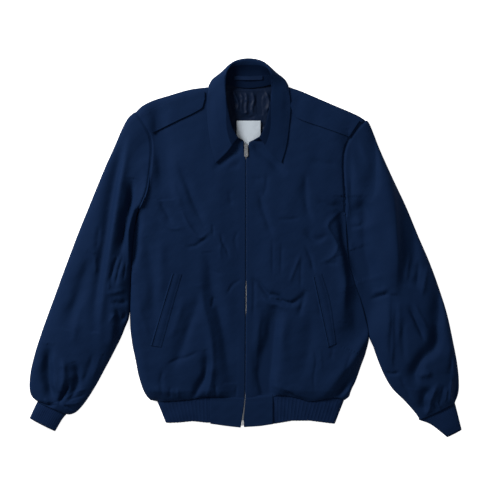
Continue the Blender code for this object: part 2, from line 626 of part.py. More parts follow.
def build():
    clear_scene()
    jacket = bpy.data.collections.new("jacket")
    bpy.context.scene.collection.children.link(jacket)

    shell = make_material("navy_shell_cloth", (0.0075, 0.0185, 0.052), 0.62)
    knit = make_material("navy_rib_knit", (0.0070, 0.0165, 0.047), 0.85)
    satin = make_material("navy_satin_lining", (0.0085, 0.0125, 0.027), 0.35)
    woven = make_material("pale_label_weave", (0.42, 0.48, 0.55), 0.6)
    tape = make_material("navy_zip_tape", (0.006, 0.013, 0.036), 0.8)
    alloy = make_material("zip_alloy", (0.62, 0.63, 0.65), 0.32, 1.0)

    # fronts and back
    grid_r, arm_r = front_grid(SIDE_RIGHT, ARM_RIGHT, SHOULDER_RIGHT, NECK_RIGHT, WAIST_RIGHT, -1)
    grid_l, arm_l = front_grid(SIDE_LEFT, ARM_LEFT, SHOULDER_LEFT, NECK_LEFT, WAIST_LEFT, 1)
    front_right = sheet("front_right", grid_r, CLOTH, -1, shell, jacket)
    front_left = sheet("front_left", grid_l, CLOTH, -1, shell, jacket)
    right_edge = list(map(tuple, arm_r)) + list(map(tuple, spline(SHOULDER_RIGHT, even(COLS))[1:]))
    left_edge = list(map(tuple, arm_l)) + list(map(tuple, spline(SHOULDER_LEFT, even(COLS))[1:]))
    neck = list(map(tuple, spline(BACK_NECK, even(16))))[1:-1]
    outline = right_edge + neck + left_edge[::-1]
    slab("back", outline, 0.0, CLOTH, shell, jacket)

    # sleeves: the top points at the armhole are the front's own
    arm_rows = slice(ROWS_SIDE, ROWS_SIDE + ROWS_ARM + 1)
    ring_r = sleeve_grid(arm_r[arm_rows], -1, SLEEVE_RIGHT, grid_r[arm_rows, 0, 2])
    ring_l = sleeve_grid(arm_l[arm_rows], 1, SLEEVE_LEFT, grid_l[arm_rows, 0, 2])
    sheet("sleeve_right", ring_r, CLOTH, -1, shell, jacket, ring=True)
    sheet("sleeve_left", ring_l, CLOTH, -1, shell, jacket, ring=True)

    # cuffs and waistband
    rings, ribs = cuff_grid(CUFF_RIGHT)
    sheet("cuff_right", rings, 2.0, -1, knit, jacket, ring=True, raise_by=ribs)
    rings, ribs = cuff_grid(CUFF_LEFT)
    sheet("cuff_left", rings, 2.0, -1, knit, jacket, ring=True, raise_by=ribs)
    rings, ribs = waist_grid()
    sheet("waist_rib", rings, 2.2, -1, knit, jacket, raise_by=ribs)
    sheet("waist_tab_right", tab_grid(TAB_SEAMS[0] + SEAM, TAB_RIGHT_HEM, -1), 2.4, 1, shell, jacket)
    sheet("waist_tab_left", tab_grid(TAB_SEAMS[1] - SEAM, TAB_LEFT_HEM, 1), 2.4, 1, shell, jacket)

    # collar, lining, label, hanger loop
    collar = sheet("collar", collar_grid(), COLLAR_WALL, 0, shell, jacket)
    slab("lining", LINING, CLOTH + 0.4, CLOTH + 1.2, satin, jacket)
    base = CLOTH + 1.6
    block("label", (LABEL[0], LABEL[1], base), (LABEL[2], LABEL[3], base + 0.7), woven, jacket)
    loop = laid_grid(HANGER_LOOP, collar, 0.35, 3, 12, 0.8)
    loop[:, :, 2] += LOOP_RISE * np.sin(np.pi * even(12))[None, :] ** 2
    sheet("hanger_loop", loop, 0.9, 1, satin, jacket)

    # straps and welts lie on the fronts
    for kind, right, left in (("strap", STRAP_RIGHT, STRAP_LEFT), ("welt", WELT_RIGHT, WELT_LEFT)):
        for name, edges, piece in ((kind + "_right", right, front_right), (kind + "_left", left, front_left)):
            grid = laid_grid(edges, piece, 0.6, 4, 24, 4.0)
            sheet(name, grid, 1.4, 1, shell, jacket)

    # zip
    drop = CLOTH + 1.1
    low = -357.0
    high = SLIDER_Y - 8.2
    sheet("zip_chain", zip_strip(-2.9, 2.9, low, high, drop, 30), 2.2, -1, alloy, jacket)
    sheet("zip_tape_right", zip_strip(-14.5, -4.3, low, 219, drop, 24), 0.9, -1, tape, jacket)
    sheet("zip_tape_left", zip_strip(4.3, 14.5, low, 219, drop, 24), 0.9, -1, tape, jacket)

    x0 = float(centre_x(SLIDER_Y))
    plate = float(column(HEIGHT, SLIDER_Y, 1)) + PLATE_ABOVE
    body_line = [(-2.4, -6.6), (2.4, -6.6), (3.4, -1.5), (SLIDER_HALF, 3.0), (SLIDER_HALF, 5.6),
                 (1.6, 6.6), (-1.6, 6.6), (-SLIDER_HALF, 5.6), (-SLIDER_HALF, 3.0), (-3.4, -1.5)]
    body_line = [(x0 + x, SLIDER_Y + y) for x, y in body_line]
    slider = slab("zip_slider", body_line, plate - 4.6, plate, alloy, jacket)
    low_corner = (x0 - BRIDGE_HALF_WIDTH, SLIDER_Y - BRIDGE_HALF_LENGTH, plate - 1.0)
    high_corner = (x0 + BRIDGE_HALF_WIDTH, SLIDER_Y + BRIDGE_HALF_LENGTH, plate + BRIDGE_RISE)
    bridge = block("bridge", low_corner, high_corner, alloy, jacket)
    hole = block("hole", (x0 - 4, SLIDER_Y - BRIDGE_HOLE[0], plate),
                 (x0 + 4, SLIDER_Y + BRIDGE_HOLE[0], plate + BRIDGE_HOLE[1]), alloy, jacket)
    combine(bridge, hole, "DIFFERENCE")
    combine(slider, bridge, "UNION")

    # the tab, its axis through its own origin
    axis = Vector((x0, SLIDER_Y - AXIS_BACK, plate + AXIS_UP))
    half = TAB_THICK / 2
    tab_line = [(-3.3, 0.65), (3.3, 0.65), (3.5, 0.0), (4.1, -TAB_LENGTH + 2.0), (2.6, -TAB_LENGTH),
                (-2.6, -TAB_LENGTH), (-4.1, -TAB_LENGTH + 2.0), (-3.5, 0.0)]
    tab = slab("zip_pull_tab", tab_line[::-1], -half, half, alloy, jacket)
    window = block("window", (-1.6, -5.6, -5), (1.6, -0.65, 5), alloy, jacket)
    combine(tab, window, "DIFFERENCE")
    eye = rod("eye", 0, TAB_EYE - TAB_LENGTH, 1.1, 10, alloy, jacket)
    combine(tab, eye, "DIFFERENCE")
    tab.location = axis * MM
    print("tab axis", tuple(round(c, 3) for c in axis))

    for ob in jacket.objects:
        bm = bmesh.new()
        bm.from_mesh(ob.data)
        bmesh.ops.triangulate(bm, faces=bm.faces)
        print(ob.name, len(bm.faces), "volume", round(bm.calc_volume(signed=True) * 1e9), "mm3")
        bm.free()


build()
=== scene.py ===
# %% [markdown]
# The jacket lies flat on a pale surface with its front up, and the camera looks straight down
# on it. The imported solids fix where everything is. Each cloth piece is made again here as a
# thin shell on the same lines, fine enough to carry its creases, seams and stitching.

# %% Load the frame
import math

import bmesh
import bpy
import numpy as np
from mathutils import Matrix, Vector
from mathutils.bvhtree import BVHTree


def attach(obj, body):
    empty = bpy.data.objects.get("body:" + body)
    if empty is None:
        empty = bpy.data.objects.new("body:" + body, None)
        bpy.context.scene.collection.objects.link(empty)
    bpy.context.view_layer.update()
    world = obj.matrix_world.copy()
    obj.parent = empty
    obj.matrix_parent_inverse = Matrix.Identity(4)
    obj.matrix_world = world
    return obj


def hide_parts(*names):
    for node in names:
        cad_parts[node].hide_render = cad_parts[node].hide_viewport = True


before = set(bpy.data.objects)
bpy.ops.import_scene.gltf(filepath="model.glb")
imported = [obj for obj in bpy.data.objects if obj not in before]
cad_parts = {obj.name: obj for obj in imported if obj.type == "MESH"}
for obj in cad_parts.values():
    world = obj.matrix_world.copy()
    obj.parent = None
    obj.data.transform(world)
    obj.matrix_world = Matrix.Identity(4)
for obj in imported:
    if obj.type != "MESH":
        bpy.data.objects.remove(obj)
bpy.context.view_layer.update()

# %% [markdown]
# Sizes are in millimetres, as a cutter would write them, and turned into metres when a mesh
# is made. The outlines are those of the flat garment: side seams, armholes, shoulders, neck
# and waist, each a short row of points that a smooth curve passes through.

# %% Sizes and outlines
MM = 0.001
CLOTH = 1.5             # shell cloth with its backing
TUCK = 3.0              # how far a piece reaches under its neighbour at a seam
EDGE_TOP = 4.2          # front's edge over the back at shoulder and side
ARMPIT_TOP = 6.4        # the same where the sleeve's edge lies under it
SHOULDER_ROUND = 21.0
HEM_ROUND = 10.0
WAIST_TOP = 11.5
CENTRE_FLAT = 16.0
COLLAR_X = 1.05
COLLAR_WALL = 1.3
FINE = 2

# outlines of the fronts, (x, y)
SIDE_RIGHT = [(-191, -319), (-207, -314), (-219, -298), (-230, -266), (-237, -231), (-244, -197),
              (-248, -158), (-248, -105), (-246, -42), (-243, 10), (-238, 48), (-233, 78)]
SIDE_LEFT = [(202, -317), (212, -309), (217, -296), (227, -275), (238, -244), (248, -216), (255, -181),
             (248, -147), (237, -105), (227, -74), (214, -32), (208, 21), (206, 74)]
ARM_RIGHT = [(-233, 78), (-222, 99), (-212, 126), (-207, 158), (-204, 189), (-203, 216), (-207, 242),
             (-221, 268), (-237, 290)]
ARM_LEFT = [(206, 74), (204, 109), (202, 147), (201, 185), (204, 211), (213, 232), (226, 250), (248, 272)]
SHOULDER_RIGHT = [(-237, 290), (-223, 303), (-202, 314), (-164, 326), (-122, 338), (-84, 343)]
SHOULDER_LEFT = [(248, 272), (235, 281), (214, 291), (176, 307), (139, 323), (108, 336), (86, 343)]
NECK_RIGHT = [(-84, 343), (-75.5, 327), (-69.5, 299.5), (-58, 267), (-38, 245), (-21, 236.5), (-8, 227.5)]
NECK_LEFT = [(86, 343), (77.5, 327), (71.5, 299.5), (60, 267), (38, 246), (20, 236), (2.4, 226.5)]
WAIST_RIGHT = [(-191, -319), (-164, -318), (-122, -315), (-90, -310), (-38, -311), (-8, -313)]
WAIST_LEFT = [(202, -317), (187, -311), (162, -314), (130, -319), (109, -313), (78, -307), (50, -308),
              (-4, -313)]
BACK_NECK = [(-84, 343), (-74, 339), (-55, 347.6), (-28, 343), (1, 340.2), (30, 343), (57, 347.6),
             (76, 339), (86, 343)]
# the zip's middle line and half the opening between the front edges: y, x, half
CENTRE = [(-373, -12, 4.6), (-357, -11, 2.6), (-336, -8.4, 2.0), (-313, -6, 1.8), (-290, -5.6, 0.9),
          (-140, -4.6, 0.8), (-128, -4, 1.5), (-72, -3.6, 1.5), (-58, -4, 0.7), (190, -4, 0.7),
          (201, -4, 4.4), (226, -4, 4.4)]
# height of the fronts' top along Y: y, at the zip, in the panel
HEIGHT = [(-373, 10, 10), (-319, 11.5, 14), (-296, 13, 21), (-240, 14, 22), (-170, 14.5, 20),
          (-80, 14.5, 18.5), (40, 14.5, 17), (160, 14, 16), (260, 13.5, 14), (350, 12, 11.5)]
# sleeve stations after the armhole: outer x, y, inner x, y, height of the dome, bow of the ring
SLEEVE_RIGHT = [
    (-251, 277, -234.6, 77.0, 13, 26), (-264, 253, -236.0, 72, 14, 17), (-279, 218, -237.8, 62, 15, 10),
    (-297, 178, -239.8, 49, 17, 5), (-315, 135, -241.9, 33, 18, 2), (-334, 88, -244.3, 10, 19, 0),
    (-352, 44, -246.3, -22, 20, 0), (-370, -3, -248.2, -62, 20, 0), (-388, -51, -249.6, -104, 20, 0),
    (-404, -95, -252, -140, 20, 0), (-418, -133, -264, -177, 20, 0), (-432, -172, -282, -214, 20, 0),
    (-445, -212, -301, -250, 20, 0), (-454, -247, -320, -285, 19, 0), (-458, -275, -341, -318, 18, 0),
    (-457.5, -297, -359, -339, 16, 0), (-452, -311, -373, -346, 14, 0), (-443, -318.5, -382.5, -345.5, 12, 0)]
SLEEVE_LEFT = [
    (254, 262, 207.4, 68, 13, 17), (263, 240, 208.0, 50, 14, 14), (273, 214, 209.2, 26, 16, 11),
    (286, 184, 211.8, -5, 18, 8), (300, 153, 216.6, -33, 20, 6), (329, 92, 229.4, -76, 21, 3),
    (356, 27, 242, -117, 20, 1), (380, -29, 251.2, -152, 19, 0), (400, -84, 258.2, -183, 20, 0),
    (416, -136, 269, -220, 20, 0), (428, -191, 286, -262, 20, 0), (437, -237, 304, -292, 19, 0),
    (441, -275, 330, -318, 18, 0), (440, -304, 352, -343, 15, 0), (435.5, -322, 361.5, -357, 12, 0)]
# cuff stations: outer x, y, inner x, y, height
CUFF_RIGHT = [(-443.4, -319.4, -382.9, -346.4, 11.5), (-450, -332, -391.5, -357, 12.5),
              (-460, -354, -406, -381.5, 10.5)]
CUFF_LEFT = [(436.1, -323.5, 362.0, -358.5, 11.5), (441.5, -344, 386, -368, 12.5),
             (450, -378, 419, -394, 10.5)]
# collar from the front edge round to the middle of the neck: fall edge, lower fall, upper fall,
# roll, stand, neck seam, each x from the collar's middle, y, z (z counted from the front under the
# edge and the lower fall while "on" is 1)
COLLAR_COLUMNS = ("on", "edge", "low", "fall", "roll", "stand", "neck")
COLLAR = [
    (1, (-69, 183, 1.3), (-57, 194, 2.0), (-44, 207, 19),
     (-23, 234, 20.5), (-17, 231.5, 17), (-11, 229.8, 13.6)),
    (1, (-79, 218, 1.3), (-70, 226, 3.0), (-57, 238, 19.5),
     (-35, 258, 22), (-36.5, 250, 16.6), (-34, 243.2, 13)),
    (1, (-85, 260, 1.3), (-77, 266, 3.2), (-64, 275, 20),
     (-42, 288, 23.5), (-47, 280, 17.5), (-56, 269.5, 12.8)),
    (1, (-88, 300, 1.3), (-80, 304, 3.2), (-68, 310, 20),
     (-47, 318, 24), (-55, 310, 17.5), (-67, 300.5, 12)),
    (0, (-85, 331, 13.8), (-79, 335, 15.5), (-69, 340, 18),
     (-48, 344, 22), (-59, 337, 14), (-73, 327, 10.5)),
    (0, (-81, 350, 4.5), (-78, 356, 8), (-69, 361, 13),
     (-46, 369, 18), (-59, 355, 10), (-72, 342, 4.4)),
    (0, (-60, 356, 0.7), (-63, 366, 2.0), (-57, 374, 8),
     (-38, 386, 14.5), (-46, 368, 9), (-56, 349, 1.5)),
    (0, (-33, 355, 0.7), (-36, 377, 0.7), (-35, 392, 3.5),
     (-23, 396, 12), (-26, 373, 9), (-29, 344, 1.2)),
    (0, (0, 355, 0.7), (0, 380, 0.7), (0, 399, 3),
     (0, 400, 10.5), (0, 374, 9), (0, 341, 1.1)),
]
# pieces laid on the fronts: one long edge, the other long edge
STRAP_RIGHT = ([(-202, 246), (-151, 270), (-98, 297), (-93, 309), (-91, 317)],
               [(-226, 283), (-167, 311), (-102, 334), (-93, 333), (-91, 329)])
STRAP_LEFT = ([(212, 238), (155, 258), (101, 278), (93, 292), (89, 302)],
              [(234, 271), (172, 299), (110, 322), (99, 316), (90, 309)])
WELT_RIGHT = ([(-157, -49), (-180, -125), (-202, -200)], [(-138, -51), (-160, -128), (-181, -204)])
WELT_LEFT = ([(137, -55), (153, -128), (169, -203)], [(155, -50), (172, -107), (185, -196)])
TAB_RIGHT_HEM = [(-78.5, -365), (-44, -370), (-17, -373)]
TAB_LEFT_HEM = [(-7, -372), (25, -370), (51.5, -366)]
HEM_FRONT = [(-174, -364), (-147, -363), (-116, -360), (-86, -363), (51, -366), (94, -359), (130, -359),
             (162, -363), (184, -366)]
TAB_SEAMS = (-78.0, 51.0)
HEM_BACK_Y = -359.0
LABEL = (-24.0, 217.0, 26.5, 272.0)
HANGER_LOOP = ([(-29.5, 358), (1, 357), (30.5, 358)], [(-29.5, 366), (1, 365), (30.5, 366)])
LOOP_RISE = 1.2
# slider and tab: the tab's axis lies across the bridge
SLIDER_Y = 215.5

# %% [markdown]
# The creases are listed one row each: where the cloth buckles over the waistband,
# falls in from the chest, bends at the elbows and gathers at the cuffs. Each row has the
# line's points, its rise (less than nothing for a hollow), its width on the left or upper
# side, its width on the right or lower side, and how sharply it drops. The line is where the
# crease is in shade, so the crease's middle stands a little to the right of it or above it.

# %% Creases
# piece, strength, rows
CREASE_GROUPS = [
    ("right front", 0.82, [
        ([(2, 220), (-17, 216), (-40, 202), (-63, 183), (-76, 172)], -4.5, 7, 8, 1.9),
        ([(-206, 315), (-197, 260), (-193, 210), (-189, 164), (-185, 105)], -10.5, 18, 24, 2),
        ([(-151, 183), (-136, 147), (-122, 109), (-107, 76), (-94, 46)], -4.5, 7, 10, 1.8),
        ([(-166, 147), (-153, 113), (-143, 84)], 2, 8, 7, 2),
        ([(-139, 88), (-126, 59), (-111, 36), (-99, 27), (-86, 38), (-76, 44)], 2.6, 4, 4, 1.4),
        ([(-132, 10), (-113, 10), (-99, 19), (-84, 29)], -2.6, 3.5, 4.5, 1.6),
        ([(-76, 55), (-74, 29)], -1.8, 3, 3, 1.6),
        ([(-59, 36), (-55, 15), (-46, 0), (-42, -17)], -2.4, 3, 4, 1.6),
        ([(-21, 44), (-29, 23), (-25, -4)], -1.2, 4, 4, 2),
        ([(-189, 105), (-174, 76), (-162, 52)], -3.2, 7, 5, 1.8),
        ([(-187, 69), (-170, 52), (-155, 46), (-134, 50)], 1.8, 3.5, 3.5, 1.5),
        ([(-223, 25), (-212, -25), (-206, -84), (-206, -136), (-200, -172)], -3.6, 13, 11, 2),
        ([(-189, 38), (-187, -25), (-189, -105)], 2.4, 9, 12, 2),
        ([(-92, -4), (-88, -46), (-82, -84), (-71, -122), (-63, -158), (-57, -193), (-52, -227), (-48,
         -260), (-46, -281)], -8, 13, 15, 1.8),
        ([(-105, -71), (-99, -116), (-86, -168), (-80, -214), (-82, -262), (-88, -309)], 4, 10, 8, 1.8),
        ([(-107, -78), (-116, -116), (-128, -151), (-141, -189), (-153, -223), (-168, -254)], -4.5, 13, 9,
         1.9),
        ([(-139, -97), (-151, -143), (-168, -189)], 2.2, 8, 8, 2),
        ([(-174, -242), (-153, -229), (-130, -223), (-101, -210)], -2.2, 3, 5, 1.6),
        ([(-92, -210), (-90, -239), (-97, -269), (-109, -290), (-122, -313)], -8.5, 9, 6, 1.8),
        ([(-78, -235), (-80, -273), (-90, -309)], 3, 4, 9, 1.8),
        ([(-46, -92), (-32, -71), (-8, -57)], -1.8, 3.5, 3.5, 1.6),
        ([(-74, -97), (-78, -122)], -2.2, 3, 4, 1.6),
        ([(-206, -284), (-168, -292), (-132, -296)], 2.2, 10, 8, 2),
        ([(-178, -244), (-185, -273), (-181, -309)], -2, 5, 5, 1.8),
        ([(-42, 126), (-38, 90)], -1.2, 5, 5, 2),
        ([(-48, 172), (-25, 181), (-8, 193)], -1.5, 5, 6, 2),
        ([(-164, -286), (-166, -311)], -1.6, 3, 3, 1.6),
        ([(-149, -290), (-147, -311)], 1.4, 3, 3, 1.6),
        ([(-71, -281), (-67, -311)], -1.8, 3, 3, 1.6),
        ([(-25, -281), (-27, -311)], -1.2, 3, 3, 1.6),
        ([(-55, 21), (-61, -4), (-55, -25)], 1.2, 4, 4, 1.6),
        ([(-86, -25), (-71, -42), (-48, -50)], -1, 4, 4, 1.8),
        ([(-233, -105), (-225, -147), (-208, -189)], 1.6, 7, 7, 2),
    ]),
    ("left front", 0.84, [
        ([(-2, 225), (21, 218), (46, 197), (69, 176), (84, 164)], -5, 9, 9, 1.9),
        ([(8, -55), (10, -88), (8, -143)], -2.4, 4, 4, 1.8),
        ([(202, 256), (206, 210), (206, 168), (208, 126), (208, 99)], -5.5, 14, 5, 1.9),
        ([(4, 155), (17, 151), (32, 153)], -1.6, 3.5, 4.5, 1.7),
        ([(19, 122), (27, 88), (38, 55), (48, 25)], -3, 7, 6, 1.8),
        ([(50, 25), (50, -55)], -1.2, 2.8, 3.5, 1.6),
        ([(69, 17), (67, -55)], -1.2, 3, 4, 1.6),
        ([(116, 164), (116, 122), (120, 84), (130, 55)], -3.2, 9, 6, 1.9),
        ([(59, 67), (82, 66), (109, 69)], -1.6, 4, 4, 1.6),
        ([(120, 46), (141, 25), (168, 36)], -2.8, 8, 6, 2),
        ([(204, 92), (187, 78), (168, 61), (164, 46), (176, 27), (185, 6), (174, -13), (147, -25)], 3.2, 5,
         5, 1.5),
        ([(116, 8), (128, -15), (136, -50)], -2.8, 5, 4, 1.6),
        ([(109, -6), (97, -36), (84, -71)], 2, 4, 4, 1.6),
        ([(111, -15), (109, -50), (109, -84)], -1.4, 3, 4, 1.6),
        ([(6, -59), (21, -63), (34, -78), (46, -92), (61, -92), (76, -105), (92, -109), (107, -99), (118,
         -82)], -5.5, 5, 6, 1.7),
        ([(29, -97), (46, -111), (65, -113), (82, -124)], 2.6, 4, 6, 1.7),
        ([(52, -101), (46, -134), (42, -168), (38, -200), (34, -231), (29, -269), (34, -302), (48, -340)],
         -17, 20, 15, 2),
        ([(21, -122), (15, -178), (15, -235)], 2.6, 10, 6, 2),
        ([(63, -118), (61, -178), (57, -256)], 3.2, 11, 15, 2),
        ([(118, -84), (111, -111), (103, -139)], -3.6, 6, 5, 1.7),
        ([(120, -130), (120, -178), (111, -231), (94, -281)], -3.6, 18, 12, 2),
        ([(134, -197), (141, -231), (136, -269), (139, -302)], -1.4, 3, 3.5, 1.6),
        ([(149, -206), (153, -256)], 1, 3, 3, 1.6),
        ([(193, 113), (195, 42), (212, -17), (229, -67)], -17, 19, 34, 2.2),
        ([(206, -4), (233, -80), (218, -160), (202, -206)], -17, 34, 30, 2.2),
        ([(200, 99), (185, 38), (195, -25), (197, -84), (193, -151)], 5.5, 12, 8, 1.9),
        ([(258, -200), (239, -233), (216, -267), (191, -294), (168, -313)], -9.5, 12, 9, 1.8),
        ([(250, -170), (223, -210), (195, -246), (170, -277), (147, -304)], 4, 14, 8, 2),
        ([(71, -290), (90, -301), (113, -313), (136, -319)], -4.5, 3, 9, 1.6),
        ([(50, -279), (71, -286), (97, -294)], 1.8, 8, 4, 1.8),
        ([(218, -210), (208, -231), (202, -252)], -1.4, 4, 4, 1.7),
        ([(176, -200), (172, -231)], -1.2, 4, 4, 1.7),
        ([(202, -281), (189, -307)], -2, 3, 4, 1.6),
        ([(218, -273), (208, -298)], 1.4, 3, 3, 1.6),
        ([(134, 193), (160, 185), (187, 183)], -1.8, 6, 7, 2),
        ([(143, 109), (172, 97), (197, 99)], -2.2, 8, 6, 2),
        ([(29, 109), (36, 134), (38, 164)], -1.2, 4, 5, 1.8),
        ([(162, -25), (189, -25)], -1.5, 5, 5, 1.8),
        ([(36, -202), (34, -235), (29, -269), (32, -298), (42, -319)], -10, 11, 8, 1.8),
        ([(147, -105), (149, -143)], -1.2, 4, 4, 1.8),
        ([(21, -200), (19, -284)], -1, 4, 4, 1.8),
    ]),
    ("right sleeve", 1.2, [
        ([(-260, 269), (-267, 231), (-277, 189), (-286, 147), (-292, 105), (-298, 63), (-304, 21), (-311,
         -25), (-317, -74), (-323, -126), (-326, -172)], -8, 15, 9, 1.9),
        ([(-256, 273), (-262, 214), (-273, 147), (-284, 88), (-292, 38), (-300, -10), (-307, -59), (-313,
         -105), (-315, -158), (-311, -220)], 6, 9, 12, 1.9),
        ([(-246, 151), (-250, 113), (-256, 78), (-265, 42), (-269, 15), (-273, -13)], -9.5, 8, 7, 1.9),
        ([(-267, -17), (-273, -52), (-277, -88)], 4, 14, 14, 2),
        ([(-231, 185), (-218, 160), (-218, 126), (-229, 99), (-246, 80), (-253, 55), (-254, 21), (-252,
         -17), (-249, -71)], 6, 8, 7, 1.8),
        ([(-235, 76), (-238, 42), (-242, 0), (-244, -46)], -9, 4, 8, 1.9),
        ([(-273, -8), (-284, -38), (-292, -76)], -2.8, 3.5, 3.5, 1.6),
        ([(-265, -17), (-273, -46), (-279, -76)], -2.4, 3, 3, 1.6),
        ([(-257, -25), (-262, -63)], -1.8, 2.6, 2.6, 1.6),
        ([(-288, -55), (-294, -84)], 1.4, 3, 3, 1.6),
        ([(-300, -88), (-279, -86), (-254, -78)], 2.6, 6, 5, 1.7),
        ([(-286, -105), (-269, -109), (-252, -103)], -3.4, 5, 6, 1.8),
        ([(-277, -118), (-265, -143), (-256, -128)], -4.5, 5, 7, 1.8),
        ([(-284, -151), (-275, -185), (-290, -223)], -4.5, 8, 10, 1.8),
        ([(-281, -97), (-288, -151), (-296, -214)], 4, 13, 9, 1.9),
        ([(-292, -151), (-279, -132)], 1.4, 2.5, 2.5, 1.5),
        ([(-288, -134), (-275, -147)], 1.2, 2.2, 2.2, 1.5),
        ([(-336, -4), (-349, -52), (-363, -94), (-376, -130), (-386, -164)], -4.8, 13, 16, 2),
        ([(-353, -105), (-365, -158), (-370, -200)], 1.2, 8, 8, 2),
        ([(-424, -197), (-426, -239), (-424, -281), (-412, -323)], -9.5, 12, 9, 1.9),
        ([(-393, -227), (-388, -260), (-395, -298)], 4, 7, 7, 1.9),
        ([(-370, -235), (-361, -265), (-368, -294), (-382, -311)], -6.5, 9, 6, 1.8),
        ([(-378, -281), (-388, -302), (-400, -321)], -6.5, 5, 4, 1.6),
        ([(-441, -317), (-420, -324), (-401, -321)], -3, 3.5, 4, 1.6),
        ([(-382, -309), (-361, -296), (-336, -290)], 1.8, 3, 3, 1.5),
        ([(-382, -315), (-359, -307), (-340, -302)], -1.8, 3, 3, 1.5),
        ([(-386, -321), (-365, -321), (-349, -317)], 1.6, 3, 3, 1.5),
        ([(-388, -323), (-370, -332), (-359, -338)], -1.6, 3, 3, 1.5),
        ([(-391, -323), (-382, -334), (-374, -344)], 1.4, 2.6, 2.6, 1.5),
        ([(-426, -311), (-416, -319)], 1.2, 3, 3, 1.5),
        ([(-326, -214), (-340, -256), (-353, -286)], -1.8, 6, 6, 2),
        ([(-311, -214), (-319, -244), (-332, -273)], 1.2, 5, 5, 2),
        ([(-323, -10), (-321, -52)], 1.2, 4, 4, 1.8),
        ([(-315, 52), (-321, 0)], -1.5, 6, 5, 1.9),
    ]),
    ("left sleeve", 1.12, [
        ([(248, 269), (254, 227), (258, 181), (256, 134), (246, 105)], -5.5, 19, 6, 1.9),
        ([(216, 210), (214, 164), (218, 122)], 2.2, 8, 12, 2),
        ([(227, 105), (242, 78), (235, 46)], -3.6, 14, 8, 2),
        ([(212, 52), (227, 51), (244, 57)], -1.6, 3.5, 3.5, 1.6),
        ([(269, 248), (277, 200), (284, 147), (290, 94), (294, 42), (297, -10), (294, -59), (292, -92)], 9,
         28, 9, 1.9),
        ([(235, 134), (237, 63), (239, 0), (248, -71)], -3.6, 13, 20, 1.9),
        ([(300, 189), (319, 130), (330, 78), (336, 25), (332, -25), (319, -71)], -6, 20, 11, 1.9),
        ([(338, -4), (332, -34), (328, -67)], 2, 5, 5, 1.8),
        ([(355, -21), (353, -46), (349, -80)], -3, 7, 5, 1.7),
        ([(374, -34), (368, -63), (361, -97)], 2.6, 5, 5, 1.7),
        ([(391, -65), (393, -116), (388, -178), (386, -214)], -7.5, 15, 8, 1.9),
        ([(334, -118), (349, -149), (368, -193)], -4, 5, 5, 1.6),
        ([(344, -111), (359, -139), (376, -170)], 1.8, 4, 4, 1.7),
        ([(395, -160), (384, -202), (359, -223), (344, -252), (342, -290)], -8, 14, 9, 1.9),
        ([(351, -262), (368, -256), (386, -254)], 3.2, 8, 7, 1.8),
        ([(378, -284), (363, -311), (370, -344)], -6, 12, 6, 1.8),
        ([(405, -63), (412, -126), (418, -189), (422, -256)], 7, 15, 9, 1.9),
        ([(428, -202), (424, -235), (420, -265)], -2.6, 5, 4, 1.7),
        ([(439, -260), (435, -290), (430, -319)], -5.5, 6, 4, 1.7),
        ([(426, -267), (423, -298), (422, -323)], 3, 3.5, 3.5, 1.6),
        ([(397, -277), (384, -302), (376, -328), (372, -353)], 4.2, 5, 7, 1.7),
        ([(410, -281), (403, -307), (397, -332)], -1.6, 4, 4, 1.7),
        ([(416, -290), (412, -319)], 1.4, 3, 3, 1.6),
        ([(256, -101), (273, -97), (296, -88)], -4, 2.6, 3.5, 1.5),
        ([(258, -88), (275, -84), (294, -78)], 2.2, 6, 3, 1.8),
        ([(290, -97), (288, -168), (286, -256)], 4.5, 24, 6, 2),
        ([(300, -92), (299, -143), (296, -193), (296, -235)], -3.4, 6, 8, 1.8),
        ([(286, -254), (302, -258), (319, -254)], -3.4, 3.5, 3.5, 1.6),
        ([(315, -265), (328, -290), (340, -315)], -1.8, 5, 5, 1.8),
        ([(269, -235), (286, -273), (311, -307)], 1.4, 5, 5, 2),
        ([(323, -143), (321, -189), (326, -235)], -1.6, 6, 6, 2),
        ([(311, -101), (313, -147), (311, -200)], 1.2, 6, 6, 2),
        ([(212, 21), (218, -17)], 1.6, 5, 6, 2),
        ([(239, 38), (244, 0), (235, -34)], -1.6, 7, 6, 2),
        ([(359, 55), (370, 21), (378, -13)], -1.8, 7, 6, 2),
        ([(382, -311), (395, -336), (416, -353)], -1.2, 3, 3, 1.6),
        ([(395, -319), (405, -340)], 1.2, 2.6, 2.6, 1.6),
    ]),
]
LEAN = 0.55             # from a crease's shaded line to its middle, as a share of its first width


def leaned(points, width):
    line = np.array(points, dtype=float)
    span = line[-1] - line[0]
    if span[np.argmax(np.abs(span))] < 0:
        line = line[::-1]
    run = np.vstack([line[1:], line[-1:]]) - np.vstack([line[:1], line[:-1]])
    run /= np.linalg.norm(run, axis=1)[:, None]
    return line + LEAN * width * np.stack([run[:, 1], -run[:, 0]], axis=1)


CREASES = [(leaned(points, first), strength * rise, first, second, sharp)
           for piece, strength, rows in CREASE_GROUPS for points, rise, first, second, sharp in rows]
print(len(CREASES), "creases")

# %% [markdown]
# Everything else is worked out from those rows: a smooth curve through points, the distance
# from a line, and the rounded way cloth comes down to a free edge. A crease dies away at both
# ends, and slow uneven waves keep the plain stretches from being quite flat.

